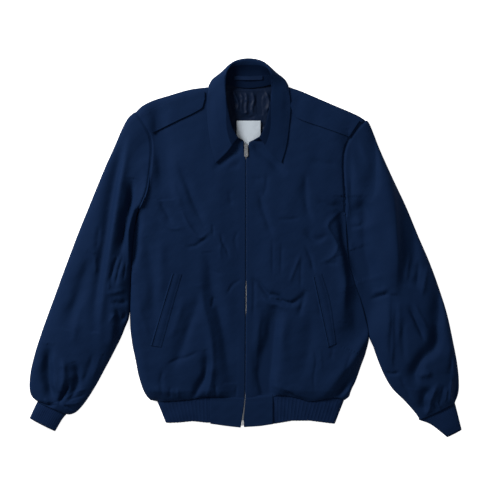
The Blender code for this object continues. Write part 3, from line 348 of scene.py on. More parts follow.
# %% Curves, distances and creases
def spline(points, fractions):
    p = np.array(points, dtype=float)
    if len(p) == 2:
        f = np.asarray(fractions)[:, None]
        return p[0] * (1 - f) + p[1] * f
    ext = np.vstack([2 * p[0] - p[1], p, 2 * p[-1] - p[-2]])
    dense = []
    s = np.linspace(0, 1, 13)[:-1, None]
    for a, b, c, d in zip(ext[:-3], ext[1:-2], ext[2:-1], ext[3:]):
        ab, bc, cd = np.linalg.norm(b - a), np.linalg.norm(c - b), np.linalg.norm(d - c)
        k1 = (c - a) * bc / (bc + ab)
        k2 = (d - b) * bc / (cd + bc)
        dense.append((2 * s**3 - 3 * s**2 + 1) * b + (s**3 - 2 * s**2 + s) * k1
                     + (-2 * s**3 + 3 * s**2) * c + (s**3 - s**2) * k2)
    dense = np.vstack(dense + [p[-1:]])
    run = np.concatenate([[0], np.cumsum(np.linalg.norm(np.diff(dense, axis=0), axis=1))])
    want = np.asarray(fractions) * run[-1]
    return np.stack([np.interp(want, run, dense[:, k]) for k in range(p.shape[1])], axis=1)


def smooth_rows(table, n):
    """The rows of a table as smooth curves, read at n + 1 even places."""
    table = np.asarray(table, dtype=float)
    want = np.linspace(0, len(table) - 1, n + 1)
    i = np.minimum(want.astype(int), len(table) - 2)
    s = (want - i)[:, None]
    ext = np.vstack([2 * table[0] - table[1], table, 2 * table[-1] - table[-2]])
    a, b, c, d = ext[i], ext[i + 1], ext[i + 2], ext[i + 3]
    return ((2 * s**3 - 3 * s**2 + 1) * b + (s**3 - 2 * s**2 + s) * (c - a) / 2
            + (-2 * s**3 + 3 * s**2) * c + (s**3 - s**2) * (d - b) / 2)


def even(n):
    return np.linspace(0, 1, n + 1)


def eased(n):
    return (1 - np.cos(np.pi * np.arange(n + 1) / n)) / 2


def smooth(t):
    t = np.clip(t, 0, 1)
    return t * t * (3 - 2 * t)


def along(xy, line):
    """Distance from a line, which side of it (1 left, -1 right), and how far along, 0 to 1."""
    best = np.full(len(xy), 1e9)
    side = np.ones(len(xy))
    where = np.zeros(len(xy))
    for k, (p, q) in enumerate(zip(line[:-1], line[1:])):
        d = q - p
        v = xy - p
        t = np.clip((v @ d) / max(float(d @ d), 1e-9), 0, 1)
        r = np.linalg.norm(v - t[:, None] * d, axis=1)
        near = r < best
        best = np.where(near, r, best)
        side = np.where(near, np.sign(d[0] * v[:, 1] - d[1] * v[:, 0]), side)
        where = np.where(near, (k + t) / (len(line) - 1), where)
    return best, side, where


def distance(xy, line):
    return along(xy, line)[0]


def rounding(d, radius):
    t = np.clip(d / radius, 0, 1)
    return np.sqrt(1 - (1 - t) ** 2)


def column(table, y, k):
    rows = np.array(table, dtype=float)
    return np.interp(y, rows[:, 0], rows[:, k])


def centre_x(y):
    return column(CENTRE, y, 1)


def creased(xy):
    total = np.zeros(len(xy))
    for points, rise, first, second, sharp in CREASES:
        line = spline(points, even(14))
        reach = 2.6 * max(first, second)
        near = np.all((xy > line.min(0) - reach) & (xy < line.max(0) + reach), axis=1)
        if not near.any():
            continue
        d, side, where = along(xy[near], line)
        width = np.where(side > 0, first, second) * (0.85 + 0.3 * np.sin(7 * where + rise) ** 2)
        ends = smooth(where / 0.28) * smooth((1 - where) / 0.28)
        total[near] += rise * (0.15 + 0.85 * ends) * np.exp(-(d / width) ** sharp) * (ends > 0)
    return total


def ripple(xy, size, seed):
    """Slow uneven waves."""
    rng = np.random.default_rng(seed)
    total = np.zeros(len(xy))
    for _ in range(9):
        angle = rng.uniform(0, 2 * np.pi)
        wave = size * rng.uniform(0.6, 1.7)
        phase = rng.uniform(0, 2 * np.pi)
        total += np.sin((xy[:, 0] * np.cos(angle) + xy[:, 1] * np.sin(angle)) * 2 * np.pi / wave + phase)
    return total / 9


def cloth_relief(xy):
    """All that the creases and waves add to the height of the cloth."""
    return creased(xy) * RELIEF + 1.5 * ripple(xy, 75, 3) + 0.7 * ripple(xy, 32, 4) + 0.25 * ripple(xy, 15, 5)


RELIEF = 1.22
SEAM_DIP = 2.3          # ditch along an armhole seam
SEAM_WIDTH = 2.8
arm_lines = [spline(ARM_RIGHT, even(30)), spline(ARM_LEFT, even(30))]


def seam_dip(xy):
    near = np.minimum(distance(xy, arm_lines[0]), distance(xy, arm_lines[1]))
    return SEAM_DIP * np.exp(-(near / SEAM_WIDTH) ** 2)


# %% [markdown]
# Shells. A grid of points becomes quads, the thickness goes on with a Solidify modifier, and
# the result is kept as the piece's own mesh at the origin. The grid's own lengths are stored
# as a UV map, so the weave follows the cut of each piece.

# %% Shell maker
def grid_uv(grid):
    """Lengths across and along the grid, in metres."""
    step = np.linalg.norm(np.diff(grid, axis=1), axis=2)
    across = np.concatenate([np.zeros((len(grid), 1)), np.cumsum(step, axis=1)], axis=1)
    across = across - across[:, across.shape[1] // 2][:, None]
    step = np.linalg.norm(np.diff(grid, axis=0), axis=2)
    down = np.concatenate([np.zeros((1, grid.shape[1])), np.cumsum(step, axis=0)], axis=0)
    return np.stack([across, down], axis=2) * MM


def keep_modifiers(ob):
    bpy.ops.object.select_all(action="DESELECT")
    ob.select_set(True)
    bpy.context.view_layer.objects.active = ob
    for mod in list(ob.modifiers):
        bpy.ops.object.modifier_apply(modifier=mod.name)


def new_object(name, verts, faces):
    mesh = bpy.data.meshes.new(name)
    mesh.from_pydata(verts, [], faces)
    ob = bpy.data.objects.new(name, mesh)
    bpy.context.scene.collection.objects.link(ob)
    return ob


def shell(name, grid, thickness, offset=-1, ring=False, edge=0.0, raise_by=None):
    k = min(3, grid.shape[1] - 1)
    turn = np.cross(grid[:, k] - grid[:, k - 1], np.gradient(grid[:, k], axis=0))[:, 2].sum()
    if turn < 0:
        grid = grid[::-1]
    rows, cols = grid.shape[:2]
    uv = grid_uv(np.concatenate([grid, grid[:, :1]], axis=1) if ring else grid)
    last = cols if ring else cols - 1
    i, j = np.meshgrid(np.arange(rows - 1), np.arange(last), indexing="ij")
    n = (j + 1) % cols
    quads = np.stack([i * cols + j, i * cols + n, (i + 1) * cols + n, (i + 1) * cols + j], axis=2)
    ob = new_object(name, (grid.reshape(-1, 3) * MM).tolist(), quads.reshape(-1, 4).tolist())
    layer = ob.data.uv_layers.new(name="cut")
    corner = np.stack([uv[i, j], uv[i, j + 1], uv[i + 1, j + 1], uv[i + 1, j]], axis=2)
    layer.data.foreach_set("uv", corner.ravel().astype(np.float32))
    mod = ob.modifiers.new("wall", "SOLIDIFY")
    mod.thickness = thickness * MM
    mod.offset = offset
    mod.use_even_offset = False
    mod.use_rim = True
    keep_modifiers(ob)
    if raise_by is not None:
        raise_points(ob, rows, cols, np.asarray(raise_by))
    if edge:
        mod = ob.modifiers.new("edge", "BEVEL")
        mod.width = edge * MM
        mod.segments = 2
        mod.limit_method = "ANGLE"
        mod.angle_limit = math.radians(55)
        keep_modifiers(ob)
    ob.data.polygons.foreach_set("use_smooth", np.ones(len(ob.data.polygons), dtype=bool))
    return ob


def raise_points(ob, rows, cols, raise_by):
    """Moves the outer points out along their normals, which makes the ribs."""
    mesh = ob.data
    co = np.zeros(len(mesh.vertices) * 3)
    normal = np.zeros(len(mesh.vertices) * 3)
    mesh.vertices.foreach_get("co", co)
    mesh.vertices.foreach_get("normal", normal)
    co, normal = co.reshape(-1, 3), normal.reshape(-1, 3)
    lift = np.zeros(len(co))
    lift[:rows * cols] = np.tile(raise_by, rows)
    co += normal * lift[:, None] * MM
    mesh.vertices.foreach_set("co", co.ravel())
    mesh.update()


def cloth_area(ob):
    """Half the closed surface, in square metres."""
    return sum(p.area for p in ob.data.polygons) / 2


def report(*pieces):
    for ob in pieces:
        print(ob.name, len(ob.data.polygons), "faces", round(cloth_area(ob), 4), "m2")


# %% [markdown]
# The fronts. Each is a patch between its four edges, domed a couple of centimetres over the
# layers under it and coming down to the back's edge along the shoulder and side. They meet
# over the zip, part a little where its teeth show, and open in a V at the neck.

# %% Fronts
# half the opening between the front edges along Y: y, half
FRONT_GAP = [(-373, 3.4), (-357, 1.9), (-336, 1.3), (-313, 0.7), (-296, 0.12), (-140, 0.12), (-126, 1.0),
             (-76, 1.0), (-62, 0.12), (190, 0.12), (201, 2.8), (209, 4.6), (226, 5.4)]


def edge_level(y, outer):
    """Height of a front's edge at the side: raised beside the armpit, where the sleeve lies under it."""
    low, high = (-160, 88) if outer < 0 else (-200, 84)
    return EDGE_TOP + (ARMPIT_TOP - EDGE_TOP) * smooth((y - low) / 26) * smooth((high - y) / 10)


def front_level(xy, side, shoulder, waist, fine=True):
    x, y = xy[:, 0], xy[:, 1]
    blend = smooth((np.abs(x - centre_x(y)) - CENTRE_FLAT) / 42.0)
    level = column(HEIGHT, y, 1) * (1 - blend) + column(HEIGHT, y, 2) * blend
    free = np.minimum(distance(xy, side), distance(xy, shoulder))
    if fine:
        calm = smooth((np.abs(x - centre_x(y)) - 5) / 16.0)
        level = level + cloth_relief(xy) * calm
        level = 6.2 + np.logaddexp(0, (level - 6.2) / 1.3) * 1.3
    tuck = rounding(distance(xy, waist), HEM_ROUND)
    level = WAIST_TOP + (level - WAIST_TOP) * tuck
    edge = edge_level(y, side[0, 0])
    return edge + (level - edge) * rounding(free, SHOULDER_ROUND)


def patch(left, right, bottom, top):
    b = (right[:, 1] - right[0, 1]) / (right[-1, 1] - right[0, 1])
    a = (bottom[:, 0] - bottom[0, 0]) / (bottom[-1, 0] - bottom[0, 0])
    a, b = a[None, :, None], b[:, None, None]
    sides = (1 - a) * left[:, None] + a * right[:, None]
    ends = (1 - b) * bottom[None] + b * top[None]
    corners = ((1 - a) * (1 - b) * bottom[0] + a * (1 - b) * bottom[-1]
               + (1 - a) * b * top[0] + a * b * top[-1])
    return sides + ends - corners


ROWS_SIDE = 84 * FINE
ROWS_ARM = 48 * FINE
COLS = 60 * FINE


def front_lines(right):
    lines = (SIDE_RIGHT, SHOULDER_RIGHT, WAIST_RIGHT) if right else (SIDE_LEFT, SHOULDER_LEFT, WAIST_LEFT)
    return [spline(line, even(40)) for line in lines]


def front_grid(side, arm, shoulder, neck, waist, sign):
    f = eased(ROWS_ARM)
    left = np.vstack([spline(side, even(ROWS_SIDE)), spline(arm, f)[1:]])
    top = spline(shoulder, even(COLS))
    bottom = spline(waist, even(COLS))
    half = ROWS_ARM // 2
    y_low = np.linspace(bottom[-1, 1], 70, ROWS_SIDE + 1)
    y = np.concatenate([y_low, 70 + (neck[-1][1] - 70) * 2 * f[1:half + 1]])
    zip_edge = np.stack([centre_x(y) + sign * column(FRONT_GAP, y, 1), y], axis=1)
    zip_edge[-1] = neck[-1]
    right = np.vstack([zip_edge, spline(neck[::-1], 2 * f[half + 1:] - 1)])
    bottom[0], bottom[-1] = left[0], right[0]
    top[0], top[-1] = left[-1], right[-1]
    grid = patch(left, right, bottom, top)
    flat = grid.reshape(-1, 2)
    z = front_level(flat, *front_lines(sign < 0))
    z = z.reshape(grid.shape[:2])
    dip = seam_dip(flat).reshape(grid.shape[:2])
    dip[:ROWS_SIDE] *= smooth((left[:ROWS_SIDE, 1] - 30) / 50)[:, None]
    return np.dstack([grid, z - dip]), left, z[:, 0]


grid_r, edge_r, top_r = front_grid(SIDE_RIGHT, ARM_RIGHT, SHOULDER_RIGHT, NECK_RIGHT, WAIST_RIGHT, -1)
grid_l, edge_l, top_l = front_grid(SIDE_LEFT, ARM_LEFT, SHOULDER_LEFT, NECK_LEFT, WAIST_LEFT, 1)
front_right = shell("front_panel_right", grid_r, CLOTH)
front_left = shell("front_panel_left", grid_l, CLOTH)
report(front_right, front_left)


# %% [markdown]
# The back lies flat under everything, so only its edge and the strip inside the neck show. It
# is a flat outline with a little thickness and a rounded edge.

# %% Back
def outline_piece(name, points, z_low, z_high, edge):
    curve = bpy.data.curves.new(name, "CURVE")
    curve.dimensions = "2D"
    curve.fill_mode = "BOTH"
    curve.extrude = (z_high - z_low) / 2 * MM - edge * MM
    curve.bevel_depth = edge * MM
    curve.bevel_resolution = 2
    curve.offset = -edge * MM
    line = curve.splines.new("POLY")
    line.points.add(len(points) - 1)
    for p, (x, y) in zip(line.points, points):
        p.co = (x * MM, y * MM, 0, 1)
    line.use_cyclic_u = True
    source = bpy.data.objects.new(name, curve)
    bpy.context.scene.collection.objects.link(source)
    graph = bpy.context.evaluated_depsgraph_get()
    mesh = bpy.data.meshes.new_from_object(source.evaluated_get(graph))
    bpy.data.objects.remove(source)
    mesh.transform(Matrix.Translation((0, 0, (z_low + z_high) / 2 * MM)))
    cage = bmesh.new()
    cage.from_mesh(mesh)
    bmesh.ops.remove_doubles(cage, verts=cage.verts, dist=0.01 * MM)
    cage.to_mesh(mesh)
    cage.free()
    ob = bpy.data.objects.new(name, mesh)
    bpy.context.scene.collection.objects.link(ob)
    return ob


back_line = np.vstack([edge_r[::3], spline(SHOULDER_RIGHT, even(24))[1:], spline(BACK_NECK, even(30))[1:-1],
                       spline(SHOULDER_LEFT, even(24))[::-1], edge_l[::-3]])
back = outline_piece("back_panel", back_line, 0.0, CLOTH, 0.5)
report(back)

# %% [markdown]
# The sleeves are tubes pressed nearly flat. Their first ring lies along the armhole seam, just
# under the front's edge, the rings turn square to the arm on the way down, and the last one is
# gathered into the cuff. Beside the body the sleeve's inner edge slips under the front's edge.

# %% Sleeves
RING = 60 * FINE
UNDER_STEP = 4
FLAT_BELOW = 1.7


def ring_points(top, edge_z):
    """Closes a line of top points with a flat underside, which needs fewer points."""
    under = top[1:-1][::-1][UNDER_STEP // 2::UNDER_STEP].copy()
    under[:, 2] = CLOTH
    ring = np.vstack([top, under])
    ring[0, 2] = edge_z + 0.7
    ring[len(top) - 1, 2] = edge_z + 0.7
    return ring


OUTWARD = {-1: 1.8, 1: 3.0}     # the cloth's roll past the pressed outline


def sleeve_grid(arm_line, sign, stations, arm_top, slip_low):
    n = RING
    f = eased(n)
    run = np.concatenate([[0], np.cumsum(np.linalg.norm(np.diff(arm_line[::-1], axis=0), axis=1))])
    run = run / run[-1]
    at = np.interp(f, run, np.arange(len(run)))
    arm = np.stack([np.interp(at, np.arange(len(run)), arm_line[::-1][:, k]) for k in (0, 1)], axis=1)
    seam_z = np.interp(at, np.arange(len(run)), arm_top[::-1])
    base = arm[0] + f[:, None] * (arm[-1] - arm[0])
    shape = arm - base
    depth = np.max(np.linalg.norm(shape, axis=1))
    tangent = np.gradient(arm, axis=0)
    normal = np.stack([-tangent[:, 1], tangent[:, 0]], axis=1)
    normal /= np.linalg.norm(normal, axis=1)[:, None]
    if normal[n // 2, 0] * sign < 0:
        normal = -normal
    tucked = arm - normal * TUCK
    rings = [ring_points(np.column_stack([tucked, np.maximum(seam_z - CLOTH - 1.4, 1.9)]), 1.6),
             ring_points(np.column_stack([arm - normal * 0.6, np.maximum(seam_z - CLOTH - 0.5, 1.9)]), 1.6)]
    start = [arm[0, 0], arm[0, 1], arm[-1, 0], arm[-1, 1], stations[0][4], depth]
    steps = len(stations) * 7 * FINE
    rows = smooth_rows([start] + [list(s) for s in stations], steps)
    where = np.linspace(0, len(stations), steps + 1)
    phi = np.pi * np.arange(n + 1) / n
    for (ox, oy, ix, iy, height, bow), w in zip(rows[1:], where[1:]):
        slip = (2.7 + 0.7 * sign) * smooth((iy - slip_low) / 22)
        out = np.array([ox, oy]) + np.array([sign, 0.35]) * OUTWARD[sign] * smooth((len(stations) - w) / 1.5)
        line = out + f[:, None] * (np.array([ix - sign * slip, iy]) - out)
        line = line + shape * (bow / depth)
        part = smooth(w / 4.0)
        dome = 3.2 + height * np.sin(phi) ** 0.62
        fade = np.sin(phi) ** 0.6 * smooth((len(stations) - w) / 0.8)
        z = dome + cloth_relief(line) * fade
        z = 4.0 + np.logaddexp(0, (z - 4.0) / 1.2) * 1.2 - 1.0 * (1 - np.sin(phi) ** 0.5)
        z = seam_z * (1 - part) + z * part - seam_dip(line)
        rings.append(ring_points(np.column_stack([line, z]), FLAT_BELOW + 1.0 * part))
    return np.array(rings)


arm_rows = slice(ROWS_SIDE, ROWS_SIDE + ROWS_ARM + 1)
ring_r = sleeve_grid(edge_r[arm_rows], -1, SLEEVE_RIGHT, top_r[arm_rows], -165)
ring_l = sleeve_grid(edge_l[arm_rows], 1, SLEEVE_LEFT, top_l[arm_rows], -206)
sleeve_right = shell("sleeve_shell_right", ring_r, CLOTH, ring=True)
sleeve_left = shell("sleeve_shell_left", ring_l, CLOTH, ring=True)
report(sleeve_right, sleeve_left)


# %% [markdown]
# Cuffs and waistband are rib knit, so every rib is a real ridge. They start just inside the
# cloth that is gathered onto them. The plain ends of the waistband beside the zip are the
# shell cloth, folded double.

# %% Cuffs and waistband
RIB_POINTS = 4
RIB = 1.95 * 4 / RIB_POINTS
RIB_RAISE = 0.4


def rib_profile(j):
    return RIB_RAISE * np.maximum(0, np.sin(np.pi * j / RIB_POINTS)) ** 0.8


def cuff_grid(stations):
    n = 30 * RIB_POINTS
    f = even(n)
    f[1], f[-2] = 0.004, 0.996
    first = np.array(stations[0], dtype=float)
    run = np.array(stations[1], dtype=float) - first
    inside = first - run * 4.0 / np.hypot(run[0], run[1])
    inside[4] = first[4] - 2.6
    shrink = (inside[2:4] - inside[:2]) * 0.02
    inside[:2] += shrink
    inside[2:4] -= shrink
    rows = smooth_rows([inside] + [list(s) for s in stations], 12 * FINE)
    keep = [0, 1, 2, 4, 8] + list(range(16, n - 8, 8)) + [n - 8, n - 4, n - 2, n - 1, n]
    rings = []
    for ox, oy, ix, iy, height in rows:
        line = np.array([ox, oy]) + f[:, None] * (np.array([ix, iy]) - np.array([ox, oy]))
        z = 3.0 + (height - 3.0) * (4 * f * (1 - f)) ** 0.42 + 0.9 * ripple(line, 26, 9) * np.sin(np.pi * f)
        top = np.column_stack([line, z])
        under = top[keep][-2:0:-1].copy()
        under[:, 2] = 0.0
        rings.append(np.vstack([top, under]))
    raise_by = np.zeros(len(rings[0]))
    j = np.arange(4, n - 3)
    raise_by[j] = rib_profile(j)
    return np.array(rings), raise_by


def waist_y(x, sign):
    table = spline(WAIST_RIGHT if sign < 0 else WAIST_LEFT[::-1], even(60))
    return np.interp(x, table[:, 0], table[:, 1])


def waist_grid():
    """Rings across the waistband from one seam beside the zip round under the back to the other."""
    rows = 12 * FINE
    x0, x1 = TAB_SEAMS
    n_r = int((x0 + 182) / RIB) // 2 * 2 * RIB_POINTS // 2
    n_l = int((193 - x1) / RIB) // 2 * 2 * RIB_POINTS // 2
    front = np.array(HEM_FRONT, dtype=float)
    out = []
    for v in np.concatenate([[-0.09], even(rows)]):
        xr, xl = -191 + max(v, 0) * 17, 202 - max(v, 0) * 18
        level = 10.8 - 1.6 * v * v if v >= 0 else 8.8
        fr, fl = np.linspace(x0, xr + 7, n_r + 1), np.linspace(xl - 7, x1, n_l + 1)
        low = level - 2.0
        turn_r = [(xr + 2.2, 1, low * 0.80), (xr + 0.5, 0.75, low * 0.62), (xr, 0.5, low * 0.42),
                  (xr + 0.6, 0.25, low * 0.2), (xr + 2.2, 0, 0.6)]
        turn_l = [(xl - 2.2, 0, 0.6), (xl - 0.6, 0.25, low * 0.2), (xl, 0.5, low * 0.42),
                  (xl - 0.5, 0.75, low * 0.62), (xl - 2.2, 1, low * 0.80)]
        line = [(x, 1, level - 2.0 * ((x0 - x) / (x0 - xr)) ** 3) for x in fr] + turn_r
        line += [(x, 0, 0.0) for x in np.linspace(xr + 6, xl - 6, 40)] + turn_l
        line += [(x, 1, level - 2.0 * ((x - x1) / (xl - x1)) ** 3) for x in fl]
        x, face, z = np.array(line).T
        upper = np.where(x < -6, waist_y(x, -1), waist_y(x, 1))
        seam = np.where(face == 1, upper, -319 + (x + 191) * 2 / 393) - 0.3
        hem = np.interp(x, front[:, 0], front[:, 1]) * face + HEM_BACK_Y * (1 - face)
        hem = np.where(face < 1, np.minimum(hem, HEM_BACK_Y), hem)
        y = seam + v * (hem - seam)
        wave = 1.5 * ripple(np.stack([x, y], axis=1), 30, 11) * (face == 1) * smooth(v / 0.2)
        out.append(np.stack([x, y, z + wave], axis=1))
    raise_by = np.zeros(len(out[0]))
    j = np.arange(4, n_r - 3)
    raise_by[j] = rib_profile(j)
    j = np.arange(4, n_l - 3)
    raise_by[len(out[0]) - 1 - j] = rib_profile(j)
    return np.array(out), raise_by


def tab_grid(x_seam, hem, sign):
    b, a = np.concatenate([[-0.07], even(16 * FINE)])[:, None], even(16 * FINE)[None]
    y_end = hem[-1][1] if sign < 0 else hem[0][1]
    y_zip = -313.6 + b * (y_end + 313.6)
    x_zip = centre_x(y_zip) + sign * column(FRONT_GAP, y_zip, 1)
    x = x_seam + a * (x_zip - x_seam)
    y_low = np.interp(x, [p[0] for p in hem], [p[1] for p in hem])
    y_top = waist_y(x, sign) - 0.3
    y = y_top + b * (y_low - y_top)
    z = 9.8 + 0.8 * smooth(b / 0.25) + (column(HEIGHT, y, 1) - 11.2) * a - 1.8 * (b < 0)
    z = z + 0.7 * ripple(np.stack([x.ravel(), y.ravel()], axis=1), 30, 12).reshape(x.shape) * smooth(b / 0.3)
    return np.stack([x, y, z], axis=2)


rings, ribs = cuff_grid(CUFF_RIGHT)
cuff_right = shell("cuff_knit_right", rings, 2.0, ring=True, raise_by=ribs)
rings, ribs = cuff_grid(CUFF_LEFT)
cuff_left = shell("cuff_knit_left", rings, 2.0, ring=True, raise_by=ribs)
rings, ribs = waist_grid()
waist_knit = shell("waistband_knit", rings, 2.2, raise_by=ribs)
tab_right = shell("waistband_end_right", tab_grid(TAB_SEAMS[0] - 1.0, TAB_RIGHT_HEM, -1), 2.4, 1, edge=0.5)
tab_left = shell("waistband_end_left", tab_grid(TAB_SEAMS[1] + 1.0, TAB_LEFT_HEM, 1), 2.4, 1, edge=0.5)
report(cuff_right, cuff_left, waist_knit, tab_right, tab_left)


# %% [markdown]
# The collar is one wall folded over its roll line. The table gives its sections from the front
# edge round to the middle of the neck; behind the neck the fall is folded under the stand, so
# the stand shows from above.

# %% Collar
def level_at(x, y):
    lines = front_lines(x < centre_x(y))
    return float(front_level(np.array([[x, y]], dtype=float), *lines, fine=False)[0])


def collar_grid():
    table = []
    for mirror, rows in ((1, COLLAR), (-1, COLLAR[-2::-1])):
        for on, *points in rows:
            section = []
            for name, (x, y, z) in zip(COLLAR_COLUMNS[1:], points):
                if on and name in ("edge", "low"):
                    z = z + level_at(mirror * x + COLLAR_X, y)
                section.append((mirror * x, y, z))
            table.append(section)
    table = np.array(table)
    behind = smooth((table[:, 0, 1] - 325) / 25)
    table[:, 5, 2] = np.maximum(table[:, 5, 2], 4.6)
    table[:, 3, 2] += 9.0 * behind
    table[:, 4, 2] -= 0.5 * behind
    stations = 96 * FINE
    rows = np.stack([smooth_rows(table[:, c], stations) for c in range(table.shape[1])])
    grid = []
    for i in range(stations + 1):
        section = spline(rows[:, i], even(30 * FINE))
        section[:, 2] = np.maximum(section[:, 2], COLLAR_WALL / 2)
        section[:, 0] += COLLAR_X
        grid.append(section)
    grid = np.array(grid)
    flat = grid.reshape(-1, 3)[:, :2]
    wave = (0.7 * ripple(flat, 60, 21) + 0.3 * ripple(flat, 24, 22)).reshape(grid.shape[:2])
    grid[:, :, 2] += wave * smooth((grid[:, :, 2] - 2) / 8)
    return grid


collar_points = collar_grid()
collar = shell("collar_shell", collar_points, COLLAR_WALL, 0, edge=0.35)


def inside(points, outline):
    """Whether each point lies within a closed outline, by counting crossings."""
    odd = np.zeros(len(points), dtype=bool)
    for (ax, ay), (bx, by) in zip(outline, np.roll(outline, -1, axis=0)):
        crosses = (ay > points[:, 1]) != (by > points[:, 1])
        if ay != by:
            odd ^= crosses & (points[:, 0] < ax + (points[:, 1] - ay) * (bx - ax) / (by - ay))
    return odd


# The stand's faces take a darker copy of the shell cloth; that darkness is painted shade, where the roll shades the
# stand.
roll_line = collar_points[:, 18 * FINE, :2] * MM
centres = np.array([face.center[:2] for face in collar.data.polygons])
stand_painted_shade_faces = inside(centres, roll_line)
collar.data.polygons.foreach_set("material_index", stand_painted_shade_faces.astype(np.int32))
report(collar)
print("stand faces", int(stand_painted_shade_faces.sum()), "of", len(stand_painted_shade_faces))

# %% [markdown]
# What lies on a panel is dropped onto it and lifted just clear: the shoulder straps and the
# pocket welts on the fronts, and the hanger loop on the collar stand.

# %% Straps, welts and loop
STRAP_WALL = 2.2
WELT_WALL = 0.8
# across the welt from the pocket's mouth: share of its width, height over the front
WELT_PROFILE = [(-0.10, -0.9), (-0.07, 0.6), (-0.03, 1.5), (0.01, 1.5), (0.02, 0.0), (0.10, -0.3), (0.11, 0.5),
                (0.17, 0.8), (0.20, 0.45), (0.25, 0.75), (0.5, 0.6), (0.74, 0.35), (0.78, 0.0), (0.84, 0.2),
                (0.94, -0.1), (1.0, -0.75)]


def tree_of(*pieces):
    verts, faces = [], []
    for ob in pieces:
        start = len(verts)
        verts += [v.co.copy() for v in ob.data.vertices]
        faces += [[start + v for v in p.vertices] for p in ob.data.polygons]
    return BVHTree.FromPolygons(verts, faces)


def drop(tree, x, y, miss=0.0):
    hit = tree.ray_cast(Vector((x, y, 200)) * MM, Vector((0, 0, -1)))
    return hit[0].z / MM if hit[0] is not None else miss


def laid_grid(edges, tree, lift, rows, cols, reach, profile=None):
    """Rows go from one long edge to the other; a profile gives each row's place and height."""
    a, b = spline(edges[0], even(cols)), spline(edges[1], even(cols))
    rows = profile or [(t, lift) for t in even(rows)]
    grid = np.zeros((len(rows), cols + 1, 3))
    for i, (t, lift) in enumerate(rows):
        for j in range(cols + 1):
            x, y = a[j] * (1 - t) + b[j] * t
            z = max(drop(tree, x + dx, y + dy) for dx in (-reach, 0, reach) for dy in (-reach, 0, reach))
            grid[i, j] = (x, y, z + lift)
    return grid


tree_r, tree_l, tree_c = tree_of(front_right), tree_of(front_left), tree_of(collar)
laid = {}
for name, edges, tree in (("strap_right", STRAP_RIGHT, tree_r), ("strap_left", STRAP_LEFT, tree_l)):
    grid = laid_grid(edges, tree, 0.8, 16 * FINE, 60 * FINE, 2.0)
    laid[name] = shell(name + "_cloth", grid, STRAP_WALL, 1, edge=0.6)
for name, edges, tree in (("welt_right", WELT_RIGHT, tree_r), ("welt_left", WELT_LEFT, tree_l)):
    grid = laid_grid(edges, tree, 0, 0, 70 * FINE, 1.2, WELT_PROFILE)
    laid[name] = shell(name + "_cloth", grid, WELT_WALL, 1, edge=0.35)
loop_grid = laid_grid(HANGER_LOOP, tree_c, 0.3, 8, 40, 0.8)
loop_grid[:, :, 2] += LOOP_RISE * np.sin(np.pi * even(40))[None, :] ** 2
loop = shell("hanger_loop_cloth", loop_grid, 1.5, 1, edge=0.3)
report(*laid.values(), loop)

# %% [markdown]
# The lining shows inside the neck. It is thin satin with loose wrinkles, made as a wrinkled
# sheet on the back. The bare woven label lies on it, sewn down on two sides.

# %% Lining and label
LINING_CREASES = [
    ([(-34, 340), (-27, 324), (-20, 308), (-26, 286)], 2.8, 3.2, 4.5, 1.7),
    ([(-17, 334), (-12, 318), (-14, 300), (-8, 284)], 1.5, 3, 3, 1.8), ([(-7, 338), (-2, 318), (-4, 296), (0, 280)], 2.0, 3, 4, 1.8),
    ([(8, 338), (13, 316), (9, 298), (12, 282)], 1.7, 3, 3.5, 1.8), ([(26, 338), (23, 310), (27, 280)], -3.2, 4.5, 5, 1.8),
    ([(37, 336), (45, 310), (38, 288)], 2.4, 4, 4, 1.8), ([(-44, 334), (-40, 306), (-33, 280)], -2.2, 4, 5, 1.8),
    ([(-22, 296), (-10, 288), (4, 292)], 1.1, 2.5, 3, 1.7), ([(-20, 281), (0, 278), (18, 284)], -1.2, 2.5, 3, 1.7),
    ([(-16, 326), (-4, 316), (10, 312)], 0.9, 2.5, 3, 1.8), ([(-48, 341), (-20, 337), (20, 337)], 1.2, 3, 3, 1.8),
    ([(-30, 262), (-34, 246), (-26, 236)], 1.8, 4, 4, 1.8), ([(33, 262), (36, 248), (28, 238)], 1.6, 4, 4, 1.8),
]


def lining_level(xy):
    total = np.zeros(len(xy))
    for points, rise, first, second, sharp in LINING_CREASES:
        d, side, where = along(xy, spline(points, even(12)))
        ends = smooth(where / 0.25) * smooth((1 - where) / 0.25)
        total += 1.3 * rise * ends * np.exp(-(d / np.where(side > 0, first, second)) ** sharp)
    total += 0.7 * ripple(xy, 22, 31) + 0.35 * ripple(xy, 9, 32)
    level = np.maximum(3.4 + total, 2.3)
    return level + (2.3 - level) * smooth((xy[:, 1] - 334) / 8)


def lining_grid():
    """Across from one side of the neck to the other, up to the neck seam."""
    rows, cols = 60 * FINE, 60 * FINE
    top = spline([(-72, 342), (-55, 351), (-28, 347.5), (1, 345), (30, 347.5), (57, 351), (74, 342)], even(cols))
    bottom = spline([(-34, 200), (1, 199), (36, 200)], even(cols))
    grid = np.zeros((rows + 1, cols + 1, 3))
    for i, t in enumerate(even(rows)):
        line = bottom * (1 - t) + top * t
        line[:, 0] *= 1 + 0.42 * np.sin(np.pi * t) * (1 - 0.35 * t)
        grid[i, :, :2] = line
    flat = grid[:, :, :2].reshape(-1, 2)
    grid[:, :, 2] = lining_level(flat).reshape(rows + 1, cols + 1)
    return grid


lining = shell("lining_satin", lining_grid(), 0.6, -1)
tree_n = tree_of(lining)
label_x, label_y = (LABEL[0], LABEL[2]), (LABEL[1], LABEL[3])
label_grid = np.zeros((25, 25, 3))
for i, v in enumerate(even(24)):
    for j, u in enumerate(even(24)):
        x = label_x[0] + u * (label_x[1] - label_x[0])
        y = label_y[0] + v * (label_y[1] - label_y[0])
        label_grid[i, j] = (x, y, 5.2 + 0.35 * drop(tree_n, x, y, 3.4))
label = shell("neck_label", label_grid, 0.7, 1, edge=0.15)
report(lining, label)

